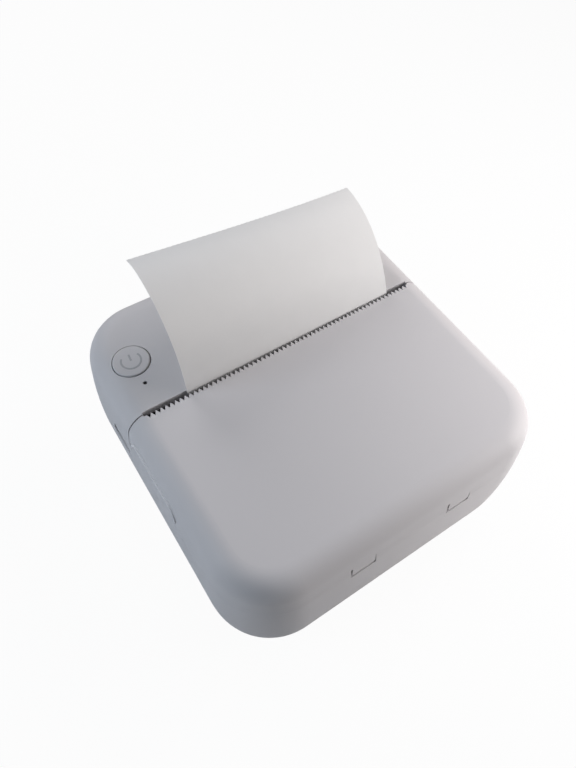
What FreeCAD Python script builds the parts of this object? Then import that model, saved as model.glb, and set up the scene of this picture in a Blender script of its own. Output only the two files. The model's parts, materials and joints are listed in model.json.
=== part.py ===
import FreeCAD, Part

import math
import os

# Pocket thermal label printer, in millimetres.
# Frame: +Z up, -Y is the hinge side (front), the tear slot and the rear deck lie towards +Y.
# The origin is the centre of the footprint, on the surface the feet stand on.

V = FreeCAD.Vector

# ---------------------------------------------------------------- outer form
WIDTH = 82.0            # overall size along X at the widest level
DEPTH = 82.6            # overall size along Y at the widest level
HEIGHT = 40.0           # overall height, feet included
BULGE_Z = 14.7          # level where the walls are vertical and the plan is largest
CORNER_R = 15.4         # plan corner radius at the widest level
TOP_EDGE_R = 5.8        # fillet between the walls and the flat top
BASE_EDGE_R = 9.0       # fillet between the walls and the underside
LEAN_DEG = 10.4         # lean of the wall where it meets the top fillet
WALL = 2.0              # thickness of every moulded shell
SEAM_GAP = 0.3          # gap along the seam between lid and casing

# ---------------------------------------------------------------- splits and seams
SPLIT_Z = 12.0          # lower casing below, upper casing above
LIP_HEIGHT = 1.2        # tongue of the lower casing inside the upper one
LIP_WALL = 0.9          # thickness of that tongue
SEAM_Z = HEIGHT - 7.6   # side seam between the lid and the upper casing
SLOT_Y = 8.9            # front edge of the rear deck, which is the rear of the paper slot
SEAM_Y = 8.3            # rear end of the lid beside the slot
LID_REAR_Y = 7.9        # crest line of the tear teeth
SLOT_HALF = 34.8        # half length of the paper slot

# ---------------------------------------------------------------- tear bar
TOOTH_COUNT = 62        # V-shaped gaps in the tear bar
TOOTH_PITCH = 1.107     # distance between gaps
TOOTH_DEPTH = 1.0       # depth of each gap
TEAR_THICK = 1.1        # thickness of the tear bar edge

# ---------------------------------------------------------------- hinge
HINGE_Z = SEAM_Z - 2.8  # lid hinge axis, parallel to X
HINGE_DEPTH = 1.4       # depth of that axis behind the outer face of the front wall
LID_OPEN_DEG = 70.0     # how far the lid opens
KNUCKLE_R = 1.4         # radius of the hinge arms round the axis
HINGE_CLEAR = 0.25      # clearance round the turning knuckles
SILL_DROP = 1.1         # sill of the casing under each hinge arm, below the axis
SHADE_DEPTH = 0.22      # how far the casing's edge draws back under the lid's edge
SHADE_HEIGHT = 2.0      # height over which it draws back
ARM_X = 12.5            # centre of each hinge arm
ARM_WIDTH = 5.6         # width of a hinge arm
ARM_RISE = 3.0          # height of the arm's root above the seam
EAR_THICK = 1.8         # width of the casing's thickened hinge ears
PIN_R = 0.7             # hinge pin radius
FIT = 0.05              # radial running clearance of pins and shafts
GAP = 0.3               # general clearance between moving pieces

# ---------------------------------------------------------------- finger notch and port
NOTCH_Y0 = -13.0        # front end of the finger notch in the left seam
NOTCH_Y1 = 7.0          # rear end
NOTCH_RISE = 2.6        # how far the lid's edge rises over the notch
PORT_Y = 14.0           # centre of the charging port
PORT_Z = HEIGHT - 14.0
PORT_LENGTH = 8.4       # opening in the casing
PORT_HEIGHT = 3.4

# ---------------------------------------------------------------- controls
BUTTON_X = -WIDTH / 2 + 9.9
BUTTON_Y = DEPTH / 2 - 19.5
BUTTON_R = 4.05         # radius of the button cap
BUTTON_GAP = 0.2        # radial gap round the cap
BUTTON_TRAVEL = 0.6
LED_X = -WIDTH / 2 + 10.0
LED_Y = BUTTON_Y - 6.6
LED_R = 0.45

# ---------------------------------------------------------------- paper and roll
PAPER_X = 2.05          # centre of the paper path
PAPER_WIDTH = 53.3
PAPER_THICK = 0.16
PAPER_Y = 8.4           # plane in which the paper rises through the slot
ROLL_Y = -DEPTH / 2 + 21.3
ROLL_R = 14.6
CORE_R = 6.5            # outer radius of the cardboard core
CORE_WALL = 1.0
BIN_WALL = 1.2          # wall of the moulded roll bin
BIN_GAP = 0.5           # room between roll and bin
CHEEK_GAP = 0.9         # room at each end of the roll

# ---------------------------------------------------------------- platen and head
PLATEN_Z = HEIGHT - 9.6
PLATEN_R = 4.2
PLATEN_SHAFT_R = 1.5
PLATEN_GAP = 0.28       # between platen rubber and paper
PLATEN_OVER = 0.7       # how far the rubber passes the paper at each end
BUSH_R = 2.5
BUSH_GAP = 0.3
HEAD_GAP = 0.22         # between paper and ceramic
CERAMIC_THICK = 0.6
SINK_THICK = 2.4
HEAD_Z1 = HEIGHT - 5.4
HEAD_Z0 = HEAD_Z1 - 12.0
HEAD_SWING_DEG = 1.5

# ---------------------------------------------------------------- mechanism frame
SHEET = 1.0             # steel sheet of the mechanism frame
FRAME_FLOOR_Z = 11.8    # underside of the frame's floor
FRAME_BACK_Y = 15.4     # front of the frame's back wall
FRAME_TOP_Z = PLATEN_Z + 2.6
LID_CHEEK = 1.5         # thickness of the lid's platen cheeks

# ---------------------------------------------------------------- gear train
MODULE = 0.5
PLATEN_TEETH = 20
SMALL_TEETH = 12
IDLER_B_TEETH = 32
IDLER_A_TEETH = 24
GEAR_WIDTH = 1.6
LAYER_GAP = 0.5
IDLER_A_DEG = -20.7     # direction from idler B to idler A, seen along +X (Y right, Z up)
MOTOR_DEG = 13.2        # direction from idler A to the motor
AXLE_R = 1.0
MOTOR_R = 7.0
MOTOR_LENGTH = 13.0
MOTOR_SHAFT_R = 0.75

# ---------------------------------------------------------------- electronics and fixings
FOOT_R = 4.5
FOOT_HEIGHT = 0.8       # stand-off of the underside above the ground
FOOT_X = WIDTH / 2 - 17.0
FOOT_Y = DEPTH / 2 - 15.3
SCREW_X = WIDTH / 2 - 6.8
SCREW_Y = DEPTH / 2 - 14.3
BOSS_R = 2.6
SCREW_R = 1.0
SCREW_HEAD_R = 1.9
BOARD_THICK = 1.2
BOARD_Z = HEIGHT - 6.8  # underside of the main board
BOARD_X = WIDTH / 2 - 6.0    # half width of the main board
BOARD_Y0 = FRAME_BACK_Y + SHEET + 1.8
BOARD_Y1 = DEPTH / 2 - 4.8
BATTERY = (46.0, 27.0, 7.4)


# ================================================================ helpers
def box(x0, x1, y0, y1, z0, z1):
    """Axis-aligned block between two corners."""
    return Part.makeBox(x1 - x0, y1 - y0, z1 - z0, V(x0, y0, z0))


def rod_x(radius, x0, x1, y, z):
    """Cylinder along X."""
    return Part.makeCylinder(radius, x1 - x0, V(x0, y, z), V(1, 0, 0))


def rod_y(radius, y0, y1, x, z):
    """Cylinder along Y."""
    return Part.makeCylinder(radius, y1 - y0, V(x, y0, z), V(0, 1, 0))


def rod_z(radius, z0, z1, x, y):
    """Cylinder along Z."""
    return Part.makeCylinder(radius, z1 - z0, V(x, y, z0), V(0, 0, 1))


def plate_x(points, x0, x1):
    """Closed outline in the YZ plane, given as (y, z) points, extruded along X."""
    ring = [V(x0, y, z) for y, z in points]
    face = Part.Face(Part.makePolygon(ring + ring[:1]))
    return face.extrude(V(x1 - x0, 0, 0))


def plate_z(points, z0, z1):
    """Closed outline in the XY plane extruded along Z."""
    ring = [V(x, y, z0) for x, y in points]
    face = Part.Face(Part.makePolygon(ring + ring[:1]))
    return face.extrude(V(0, 0, z1 - z0))


def union(shapes):
    """Fuse a list of shapes and merge faces that continue each other."""
    first, rest = shapes[0], list(shapes[1:])
    if not rest:
        return first
    return first.multiFuse(rest).removeSplitter()


def polar(radius, degrees):
    """Point on a circle about the origin."""
    angle = math.radians(degrees)
    return radius * math.cos(angle), radius * math.sin(angle)


def solid_of(shape):
    """The single solid of a boolean result, or a compound when there are several."""
    if len(shape.Solids) == 1:
        return shape.Solids[0]
    return Part.makeCompound(shape.Solids)


# ================================================================ outer form
LEAN = math.radians(LEAN_DEG)
SIDE_R = (HEIGHT - BULGE_Z - TOP_EDGE_R) / math.sin(LEAN) + TOP_EDGE_R
DROP = math.asin((BULGE_Z - FOOT_HEIGHT - BASE_EDGE_R) / (SIDE_R - BASE_EDGE_R))


def wall_inset(z):
    """How far the outer wall has come in, at height z between the two edge fillets."""
    return SIDE_R - math.sqrt(SIDE_R ** 2 - (z - BULGE_Z) ** 2)


def wall_face(inset):
    """Half section of the pebble-shaped body at a plan corner.

    X is the distance from the corner's centre line; the section reaches in to that line.
    """
    centre = V(CORNER_R - SIDE_R, 0, BULGE_Z)

    def on(angle, radius, about):
        return V(about.x + radius * math.cos(angle), 0, about.z + radius * math.sin(angle))

    low = on(-DROP, SIDE_R - BASE_EDGE_R, centre)
    high = on(LEAN, SIDE_R - TOP_EDGE_R, centre)
    low_r = BASE_EDGE_R - inset
    high_r = TOP_EDGE_R - inset
    side_r = SIDE_R - inset
    base_z = FOOT_HEIGHT + inset
    top_z = HEIGHT - inset
    corners = [V(0, 0, base_z), V(low.x, 0, base_z), on(-DROP, side_r, centre),
               on(LEAN, side_r, centre), V(high.x, 0, top_z), V(0, 0, top_z)]
    low_mid = on((-math.pi / 2 - DROP) / 2, low_r, low)
    side_mid = on((LEAN - DROP) / 2, side_r, centre)
    high_mid = on((math.pi / 2 + LEAN) / 2, high_r, high)
    edges = [Part.LineSegment(corners[0], corners[1]).toShape(),
             Part.Arc(corners[1], low_mid, corners[2]).toShape(),
             Part.Arc(corners[2], side_mid, corners[3]).toShape(),
             Part.Arc(corners[3], high_mid, corners[4]).toShape(),
             Part.LineSegment(corners[4], corners[5]).toShape(),
             Part.LineSegment(corners[5], corners[0]).toShape()]
    return Part.Face(Part.Wire(edges))


def pebble(inset):
    """Rounded-square body with bulging walls, offset inwards by inset."""
    half_x = WIDTH / 2 - CORNER_R
    half_y = DEPTH / 2 - CORNER_R
    face = wall_face(inset)
    pieces = [box(-half_x, half_x, -half_y, half_y, FOOT_HEIGHT + inset, HEIGHT - inset)]
    for quarter in range(4):
        turn = 90 * quarter
        sign_x = 1 if quarter in (0, 3) else -1
        sign_y = 1 if quarter in (0, 1) else -1
        corner = face.copy()
        corner.rotate(V(0, 0, 0), V(0, 0, 1), turn)
        corner = corner.revolve(V(0, 0, 0), V(0, 0, 1), 90)
        corner.translate(V(sign_x * half_x, sign_y * half_y, 0))
        pieces.append(corner)
        run = 2 * (half_y if quarter % 2 == 0 else half_x)
        side = face.extrude(V(0, run, 0))
        side.rotate(V(0, 0, 0), V(0, 0, 1), turn)
        start = [(half_x, -half_y), (half_x, half_y), (-half_x, half_y), (-half_x, -half_y)][quarter]
        side.translate(V(start[0], start[1], 0))
        pieces.append(side)
    return union(pieces)


OUTER = pebble(0.0)
INNER = pebble(WALL)
REACH = WIDTH           # a length that passes the whole body


# ================================================================ derived places
HINGE_Y = wall_inset(HINGE_Z) - DEPTH / 2 + HINGE_DEPTH
PIN_REACH = ARM_WIDTH / 2 + GAP + EAR_THICK - 0.3
PLATEN_Y = PAPER_Y - PAPER_THICK / 2 - PLATEN_GAP - PLATEN_R
PAPER_X0 = PAPER_X - PAPER_WIDTH / 2
PAPER_X1 = PAPER_X + PAPER_WIDTH / 2
RUBBER_X0 = PAPER_X0 - PLATEN_OVER
RUBBER_X1 = PAPER_X1 + PLATEN_OVER
CHEEK_L1 = RUBBER_X0 - 0.5
CHEEK_L0 = CHEEK_L1 - LID_CHEEK
CHEEK_R0 = RUBBER_X1 + 0.5
CHEEK_R1 = CHEEK_R0 + LID_CHEEK
PLATE_L1 = CHEEK_L0 - 0.8
PLATE_L0 = PLATE_L1 - SHEET
PLATE_R0 = CHEEK_R1 + 0.8
PLATE_R1 = PLATE_R0 + SHEET
LAYER1_X1 = PLATE_L0 - 0.4
LAYER1_X0 = LAYER1_X1 - GEAR_WIDTH
LAYER2_X1 = LAYER1_X0 - LAYER_GAP
LAYER2_X0 = LAYER2_X1 - GEAR_WIDTH
CERAMIC_Y0 = PAPER_Y + PAPER_THICK / 2 + HEAD_GAP
SINK_Y0 = CERAMIC_Y0 + CERAMIC_THICK
SINK_Y1 = SINK_Y0 + SINK_THICK
HEAD_PIVOT_Y = SINK_Y1 + 1.2
HEAD_PIVOT_Z = HEAD_Z0 + 1.4
BIN_R = ROLL_R + BIN_GAP
ROLL_Z = FOOT_HEIGHT + WALL + 0.3 + BIN_WALL + BIN_GAP + ROLL_R
BIN_X0 = PAPER_X0 - CHEEK_GAP
BIN_X1 = PAPER_X1 + CHEEK_GAP


def pitch_r(teeth):
    """Pitch radius of a gear."""
    return MODULE * teeth / 2


IDLER_B = (PLATEN_Y, PLATEN_Z - pitch_r(PLATEN_TEETH) - pitch_r(SMALL_TEETH))
_ab = polar(pitch_r(IDLER_B_TEETH) + pitch_r(SMALL_TEETH), IDLER_A_DEG)
IDLER_A = (IDLER_B[0] + _ab[0], IDLER_B[1] + _ab[1])
_am = polar(pitch_r(IDLER_A_TEETH) + pitch_r(SMALL_TEETH), MOTOR_DEG)
MOTOR = (IDLER_A[0] + _am[0], IDLER_A[1] + _am[1])


# ================================================================ casings
def zone(y0, y1, z0, z1):
    """Full-width block."""
    return box(-REACH, REACH, y0, y1, z0, z1)


def screw_places():
    """Plan positions of the four case screws."""
    return [(sx * SCREW_X, sy * SCREW_Y) for sx in (-1, 1) for sy in (-1, 1)]


def foot_places():
    """Plan positions of the four rubber feet."""
    return [(sx * FOOT_X, sy * FOOT_Y) for sx in (-1, 1) for sy in (-1, 1)]


FOOT_SINK = 0.7         # depth of the recess each foot is bonded into
HEAD_SINK = 2.2         # depth of the counterbore under each case screw
FRAME_POSTS = [(-24.0, 30.6), (-24.0, 9.5), (29.9, 9.5)]
POST_R = 2.0


def lower_casing():
    """Bottom shell with a tongue, screw bosses, frame posts and foot recesses."""
    shell = OUTER.cut(INNER).common(zone(-REACH, REACH, 0, SPLIT_Z))
    tongue = pebble(WALL - LIP_WALL).cut(INNER)
    tongue = tongue.common(zone(-REACH, REACH, SPLIT_Z - 1.0, SPLIT_Z + LIP_HEIGHT))
    extras = [tongue]
    core = OUTER.common(zone(-REACH, REACH, 0, SPLIT_Z))
    for x, y in screw_places():
        extras.append(rod_z(BOSS_R, 0, SPLIT_Z, x, y).common(core))
    for x, y in FRAME_POSTS:
        extras.append(rod_z(POST_R, FOOT_HEIGHT + WALL / 2, FRAME_FLOOR_Z, x, y))
    body = union([shell] + extras)
    cuts = []
    for x, y in screw_places():
        cuts.append(rod_z(SCREW_R + 0.15, -1, SPLIT_Z + 1, x, y))
        cuts.append(rod_z(SCREW_HEAD_R + 0.2, -1, FOOT_HEIGHT + HEAD_SINK, x, y))
    for x, y in FRAME_POSTS:
        cuts.append(rod_z(SCREW_R, FRAME_FLOOR_Z - 6, FRAME_FLOOR_Z + 1, x, y))
    for x, y in foot_places():
        cuts.append(rod_z(FOOT_R + 0.1, -1, FOOT_HEIGHT + FOOT_SINK, x, y))
    return body.cut(Part.makeCompound(cuts)).removeSplitter()


def hinge_ears():
    """X ranges of the casing's hinge ears, one on each side of each arm."""
    ears = []
    for side in (-1, 1):
        for flank in (-1, 1):
            near = side * ARM_X + flank * (ARM_WIDTH / 2 + GAP)
            far = near + flank * EAR_THICK
            ears.append((min(near, far), max(near, far)))
    return ears


def arm_ranges():
    """X ranges of the lid's two hinge arms."""
    return [(s * ARM_X - ARM_WIDTH / 2, s * ARM_X + ARM_WIDTH / 2) for s in (-1, 1)]


def hinge_ear(x0, x1):
    """Thickened stretch of the front wall that holds one end of a hinge pin."""
    ear = box(x0, x1, -DEPTH, HINGE_Y + KNUCKLE_R, HINGE_Z - 2 * KNUCKLE_R, SEAM_Z - SEAM_GAP / 2)
    return ear.common(OUTER)


def level_outline(z, drawn):
    """Plan outline of the outer wall at height z, drawn in by a distance."""
    inset = wall_inset(z) + drawn
    r = CORNER_R - inset
    x, y = WIDTH / 2 - CORNER_R, DEPTH / 2 - CORNER_R
    edges = []
    for cx, cy, start in ((x, y, 0), (-x, y, 90), (-x, -y, 180), (x, -y, 270)):
        ends = [V(cx + polar(r, start + a)[0], cy + polar(r, start + a)[1], z) for a in (0, 45, 90)]
        if edges:
            edges.append(Part.LineSegment(edges[-1].valueAt(edges[-1].LastParameter), ends[0]).toShape())
        else:
            first = ends[0]
        edges.append(Part.Arc(*ends).toShape())
    edges.append(Part.LineSegment(ends[2], first).toShape())
    return Part.Wire(edges)


def shaded_edge(rear):
    """What comes off the casing's edge so that the lid's edge stands proud and hides the seam."""
    top = SEAM_Z - SEAM_GAP / 2
    low = top - SHADE_HEIGHT
    kept = Part.makeLoft([level_outline(low, 0.01), level_outline(top, SHADE_DEPTH)], True, True)
    return zone(-REACH, rear, low, top).cut(kept)


def slot_plate(length, height, x0, x1, y, z):
    """Stadium outline extruded along X."""
    half = (length - height) / 2
    r = height / 2
    return union([box(x0, x1, y - half, y + half, z - r, z + r),
                  rod_x(r, x0, x1, y - half, z), rod_x(r, x0, x1, y + half, z)])


NOTCH_WALL_X = -WIDTH / 2 + 4.1    # outer face of the upstand behind the finger notch
BOARD_POSTS = [(24.0, BOARD_Y1 - 5.5), (-14.0, BOARD_Y1 - 2.5), (24.0, BOARD_Y0 - 1.7)]
POST_TOP_Z = HEIGHT - 18.0    # top of the posts that take the case screws


def upper_casing():
    """Side walls and rear deck, open where the lid lies."""
    shell = OUTER.cut(INNER).common(zone(-REACH, REACH, SPLIT_Z, HEIGHT + 1))
    lip_y1 = SLOT_Y + 1.4
    extras = [box(PLATE_L1, SLOT_HALF - 1, SLOT_Y, lip_y1, HEAD_Z1 + 0.8, HEIGHT - WALL / 2)]
    inside = OUTER.common(zone(-REACH, REACH, SPLIT_Z, HEIGHT))
    for x, y in screw_places():
        side = 1 if x > 0 else -1
        extras.append(rod_z(BOSS_R, SPLIT_Z, POST_TOP_Z, x, y))
        rib = box(min(x, side * WIDTH / 2), max(x, side * WIDTH / 2), y - 0.8, y + 0.8, SPLIT_Z + 2, POST_TOP_Z)
        extras.append(rib.common(inside))
    for x, y in BOARD_POSTS:
        extras.append(rod_z(POST_R, BOARD_Z + BOARD_THICK, HEIGHT - WALL / 2, x, y))
    upstand_top = SEAM_Z + NOTCH_RISE
    extras.append(box(NOTCH_WALL_X, NOTCH_WALL_X + 1.0, NOTCH_Y0 - 0.5, NOTCH_Y1 + 0.5, SEAM_Z - 3, upstand_top))
    foot = box(-WIDTH / 2, NOTCH_WALL_X + 1.0, NOTCH_Y0 - 0.5, NOTCH_Y1 + 0.5, SEAM_Z - 3, SEAM_Z - SEAM_GAP / 2)
    extras.append(foot.common(inside))
    shelf_z = PORT_Z - PORT_HEIGHT / 2 - 1.0
    shelf = box(-WIDTH / 2, -34.2, PORT_Y - 5, PORT_Y + 5, shelf_z - 1.2, shelf_z)
    extras.append(shelf.common(inside))
    extras += [hinge_ear(x0, x1) for x0, x1 in hinge_ears()]
    body = union([shell] + extras)
    rear = SEAM_Y + SEAM_GAP
    cuts = [shell_lid_zone(rear), shaded_edge(rear),
            box(-SLOT_HALF, SLOT_HALF, 0, SLOT_Y, SEAM_Z, HEIGHT + 1)]
    swing = KNUCKLE_R + HINGE_CLEAR
    for x0, x1 in arm_ranges():
        cuts.append(box(x0 - GAP, x1 + GAP, -DEPTH, HINGE_Y, HINGE_Z - SILL_DROP, HEIGHT))
        cuts.append(box(x0 - GAP, x1 + GAP, HINGE_Y - 1, HINGE_Y + swing, HINGE_Z, HEIGHT))
        cuts.append(rod_x(swing, x0 - GAP, x1 + GAP, HINGE_Y, HINGE_Z))
        middle = (x0 + x1) / 2
        bore = PIN_REACH + 0.1
        cuts.append(rod_x(PIN_R + FIT, middle - bore, middle + bore, HINGE_Y, HINGE_Z))
    rebate = pebble(WALL - LIP_WALL - 0.1).common(zone(-REACH, REACH, SPLIT_Z - 1, SPLIT_Z + LIP_HEIGHT + 0.2))
    keep = union([rod_z(BOSS_R + 0.3, 0, HEIGHT, x, y) for x, y in screw_places()])
    cuts.append(rebate.cut(keep))
    cuts.append(rod_z(BUTTON_R + BUTTON_GAP, SEAM_Z, HEIGHT + 1, BUTTON_X, BUTTON_Y))
    cuts.append(rod_z(LED_R, SEAM_Z, HEIGHT + 1, LED_X, LED_Y))
    cuts.append(slot_plate(PORT_LENGTH, PORT_HEIGHT, -WIDTH, -34.0, PORT_Y, PORT_Z))
    for x, y in screw_places():
        cuts.append(rod_z(SCREW_R, 0, POST_TOP_Z - 2, x, y))
    for x, y in BOARD_POSTS:
        cuts.append(rod_z(SCREW_R * 0.8, 0, HEIGHT - WALL / 2, x, y))
    return body.cut(Part.makeCompound(cuts)).removeSplitter()


def shell_lid_zone(rear):
    """Block above the seam that the casing leaves to the lid."""
    block = zone(-REACH, rear, SEAM_Z - SEAM_GAP / 2, HEIGHT + 1)
    stay = box(NOTCH_WALL_X, NOTCH_WALL_X + 1.0, NOTCH_Y0 - 0.5, NOTCH_Y1 + 0.5, 0, SEAM_Z + NOTCH_RISE)
    return block.cut(stay)


# ================================================================ lid
def tear_gaps():
    """Row of V-shaped gaps that leaves the tear teeth standing."""
    half = TOOTH_PITCH * 0.46
    gaps = []
    for index in range(TOOTH_COUNT):
        x = (index - (TOOTH_COUNT - 1) / 2) * TOOTH_PITCH
        points = [(x - half, LID_REAR_Y), (x, LID_REAR_Y - TOOTH_DEPTH), (x + half, LID_REAR_Y),
                  (x + half, LID_REAR_Y + 1), (x - half, LID_REAR_Y + 1)]
        gaps.append(plate_z(points, HEIGHT - WALL - 1, HEIGHT + 1))
    return Part.makeCompound(gaps)


def notch_cutter():
    """Rounded cutter that lifts the lid's left edge over the finger notch."""
    edge = SEAM_Z + SEAM_GAP / 2
    top = edge + NOTCH_RISE
    ramp = NOTCH_RISE * 1.1
    sag = top - NOTCH_RISE * 0.45

    def at(y, z):
        return V(-WIDTH, y, z)

    front, rear = NOTCH_Y0 + ramp, NOTCH_Y1 - ramp
    wire = Part.Wire([Part.Arc(at(NOTCH_Y0, edge - 1), at(NOTCH_Y0 + ramp * 0.2, sag), at(front, top)).toShape(),
                      Part.LineSegment(at(front, top), at(rear, top)).toShape(),
                      Part.Arc(at(rear, top), at(NOTCH_Y1 - ramp * 0.2, sag), at(NOTCH_Y1, edge - 1)).toShape(),
                      Part.LineSegment(at(NOTCH_Y1, edge - 1), at(NOTCH_Y0, edge - 1)).toShape()])
    return Part.Face(wire).extrude(V(WIDTH / 2, 0, 0))


RIB_X = (-20.0, -7.0, 7.0, 20.0)
RIB_FRONT = 4.9         # front end of the lid's ribs behind the widest level


def paper_lid():
    """Hinged cover with tear bar, hinge arms, platen cheeks and stiffening ribs."""
    edge = SEAM_Z + SEAM_GAP / 2
    skin = OUTER.cut(INNER)
    extras = []
    for x0, x1 in arm_ranges():
        shank = box(x0, x1, -DEPTH, HINGE_Y + KNUCKLE_R, HINGE_Z, SEAM_Z + ARM_RISE)
        knuckle = rod_x(KNUCKLE_R, x0, x1, HINGE_Y, HINGE_Z)
        extras.append(union([shank, knuckle]).common(OUTER))
    cheek_r = BUSH_R + 1.1
    roof = HEIGHT - WALL / 2
    for x0, x1 in ((CHEEK_L0, CHEEK_L1), (CHEEK_R0, CHEEK_R1)):
        extras.append(box(x0, x1, PLATEN_Y - cheek_r, PLATEN_Y + cheek_r, PLATEN_Z, roof))
        extras.append(rod_x(cheek_r, x0, x1, PLATEN_Y, PLATEN_Z))
        brace = [(PLATEN_Y - cheek_r, PLATEN_Z), (PLATEN_Y - cheek_r - 5, roof), (PLATEN_Y, roof)]
        extras.append(plate_x(brace, x0, x1))
    for x in RIB_X:
        extras.append(box(x - 0.5, x + 0.5, RIB_FRONT - DEPTH / 2, PLATEN_Y - PLATEN_R - 1, HEIGHT - WALL - 1.6, roof))
    body = union([skin.common(zone(-REACH, SEAM_Y, edge, HEIGHT + 1))] + extras)
    cuts = [box(-SLOT_HALF, SLOT_HALF, LID_REAR_Y, SLOT_Y + 5, 0, HEIGHT + 1), tear_gaps(), notch_cutter(),
            rod_x(BUSH_R, -REACH, REACH, PLATEN_Y, PLATEN_Z)]
    under = [(LID_REAR_Y + 1, HEIGHT - WALL - 1), (LID_REAR_Y + 1, HEIGHT - TEAR_THICK),
             (LID_REAR_Y - 0.4, HEIGHT - TEAR_THICK), (LID_REAR_Y - 2.6, HEIGHT - WALL),
             (LID_REAR_Y - 2.6, HEIGHT - WALL - 1)]
    cuts.append(plate_x(under, RUBBER_X0, RUBBER_X1))
    for x0, x1 in arm_ranges():
        cuts.append(rod_x(PIN_R, x0 - 1, x1 + 1, HINGE_Y, HINGE_Z))
    return body.cut(Part.makeCompound(cuts)).removeSplitter()


def hinge_pins():
    """One steel pin through each hinge arm and its two ears."""
    return Part.makeCompound([rod_x(PIN_R, s * ARM_X - PIN_REACH, s * ARM_X + PIN_REACH, HINGE_Y, HINGE_Z)
                              for s in (-1, 1)])


# ================================================================ controls
BUTTON_FLANGE = 0.9     # how far the cap's flange reaches under the deck
FLANGE_THICK = 0.6
BUTTON_CROWN = 0.25     # how far the cap stands proud of the deck
SWITCH_SIZE = 6.0
SWITCH_HEIGHT = 1.8
PLUNGER_R = 1.4


def power_button():
    """Round push cap with a retaining flange and a stem over the switch."""
    under = HEIGHT - WALL - GAP
    top = HEIGHT + BUTTON_CROWN
    low = under - FLANGE_THICK
    cap = rod_z(BUTTON_R, low, top, BUTTON_X, BUTTON_Y)
    cap = cap.makeFillet(0.3, [e for e in cap.Edges if abs(e.CenterOfMass.z - top) < 1e-6])
    flange = rod_z(BUTTON_R + BUTTON_FLANGE, low, under, BUTTON_X, BUTTON_Y)
    flat = BUTTON_X - BUTTON_R + 0.5
    flange = flange.common(box(flat, WIDTH, 0, DEPTH, low, under))
    stem_foot = BOARD_Z + BOARD_THICK + SWITCH_HEIGHT + BUTTON_TRAVEL
    stem = rod_z(PLUNGER_R, stem_foot, under, BUTTON_X, BUTTON_Y)
    return union([cap, flange, stem])


def tact_switch():
    """Surface-mounted push switch housing with a well for its plunger."""
    z0 = BOARD_Z + BOARD_THICK
    half = SWITCH_SIZE / 2
    body = box(BUTTON_X - half, BUTTON_X + half, BUTTON_Y - half, BUTTON_Y + half, z0, z0 + SWITCH_HEIGHT)
    return body.cut(rod_z(PLUNGER_R + 0.1, z0 + 0.3, z0 + 5, BUTTON_X, BUTTON_Y))


def switch_plunger():
    """Plunger that the button's stem presses into the switch."""
    z0 = BOARD_Z + BOARD_THICK + 0.4 + BUTTON_TRAVEL
    z1 = BOARD_Z + BOARD_THICK + SWITCH_HEIGHT + BUTTON_TRAVEL
    return rod_z(PLUNGER_R, z0, z1, BUTTON_X, BUTTON_Y)


def led_light_pipe():
    """Clear rod that carries the status light up to the deck."""
    z0 = BOARD_Z + BOARD_THICK + 1.0
    pin = rod_z(LED_R - 0.05, z0, HEIGHT - 0.3, LED_X, LED_Y)
    return union([pin, rod_z(1.0, HEIGHT - WALL - 1.0, HEIGHT - WALL, LED_X, LED_Y)])


def status_led():
    """Light-emitting diode under the light pipe."""
    z0 = BOARD_Z + BOARD_THICK
    return box(LED_X - 0.8, LED_X + 0.8, LED_Y - 0.5, LED_Y + 0.5, z0, z0 + 0.8)


# ================================================================ electronics
BOARD_CUT = 9.5         # corner cut of the board at the rear


def main_board():
    """Control board under the rear deck, with a tab that carries the status light."""
    outline = [(-BOARD_X, LED_Y - 1.4), (LED_X + 2.4, LED_Y - 1.4), (LED_X + 2.4, BOARD_Y0),
               (BOARD_X, BOARD_Y0), (BOARD_X, BOARD_Y1 - BOARD_CUT), (BOARD_X - BOARD_CUT, BOARD_Y1),
               (BOARD_CUT - BOARD_X, BOARD_Y1), (-BOARD_X, BOARD_Y1 - BOARD_CUT)]
    board = plate_z(outline, BOARD_Z, BOARD_Z + BOARD_THICK)
    x, y = BOARD_POSTS[2]
    ear = box(x - 3, x + 3, y - 2.6, BOARD_Y0 + 1, BOARD_Z, BOARD_Z + BOARD_THICK)
    board = union([board, ear])
    holes = [rod_z(SCREW_R + 0.1, 0, HEIGHT, px, py) for px, py in BOARD_POSTS]
    return board.cut(Part.makeCompound(holes))


def board_components():
    """Driver, charger and power parts soldered on the main board."""
    z = BOARD_Z + BOARD_THICK
    places = [(4.0, 27.0, 9.0, 9.0, 1.2), (-9.0, 27.0, 6.0, 6.0, 1.0), (14.5, 23.0, 5.0, 5.0, 2.0),
              (14.5, 31.0, 5.0, 4.0, 1.4), (-18.0, 23.5, 3.4, 5.2, 1.6)]
    return Part.makeCompound([box(x - a / 2, x + a / 2, y - b / 2, y + b / 2, z, z + h)
                              for x, y, a, b, h in places])


def radio_module():
    """Shielded radio module on the underside of the main board."""
    can = box(16, 30, BOARD_Y0 + 2.8, BOARD_Y0 + 10.3, BOARD_Z - 2.0, BOARD_Z)
    return can.makeFillet(0.6, [e for e in can.Edges if abs(e.tangentAt(0).z) > 0.9])


def board_screws():
    """Pan-head screws that hold the main board to the deck's posts."""
    screws = []
    for x, y in BOARD_POSTS:
        shank = rod_z(SCREW_R * 0.8, BOARD_Z, BOARD_Z + 4.0, x, y)
        screws.append(union([shank, rod_z(1.7, BOARD_Z - 1.1, BOARD_Z, x, y)]))
    return Part.makeCompound(screws)


PORT_SHELL = 0.35       # clearance between the port's shell and the casing opening
PORT_X0 = -WIDTH / 2 + 1.0
PORT_X1 = -WIDTH / 2 + 7.0
TONGUE_THICK = 0.7


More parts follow.
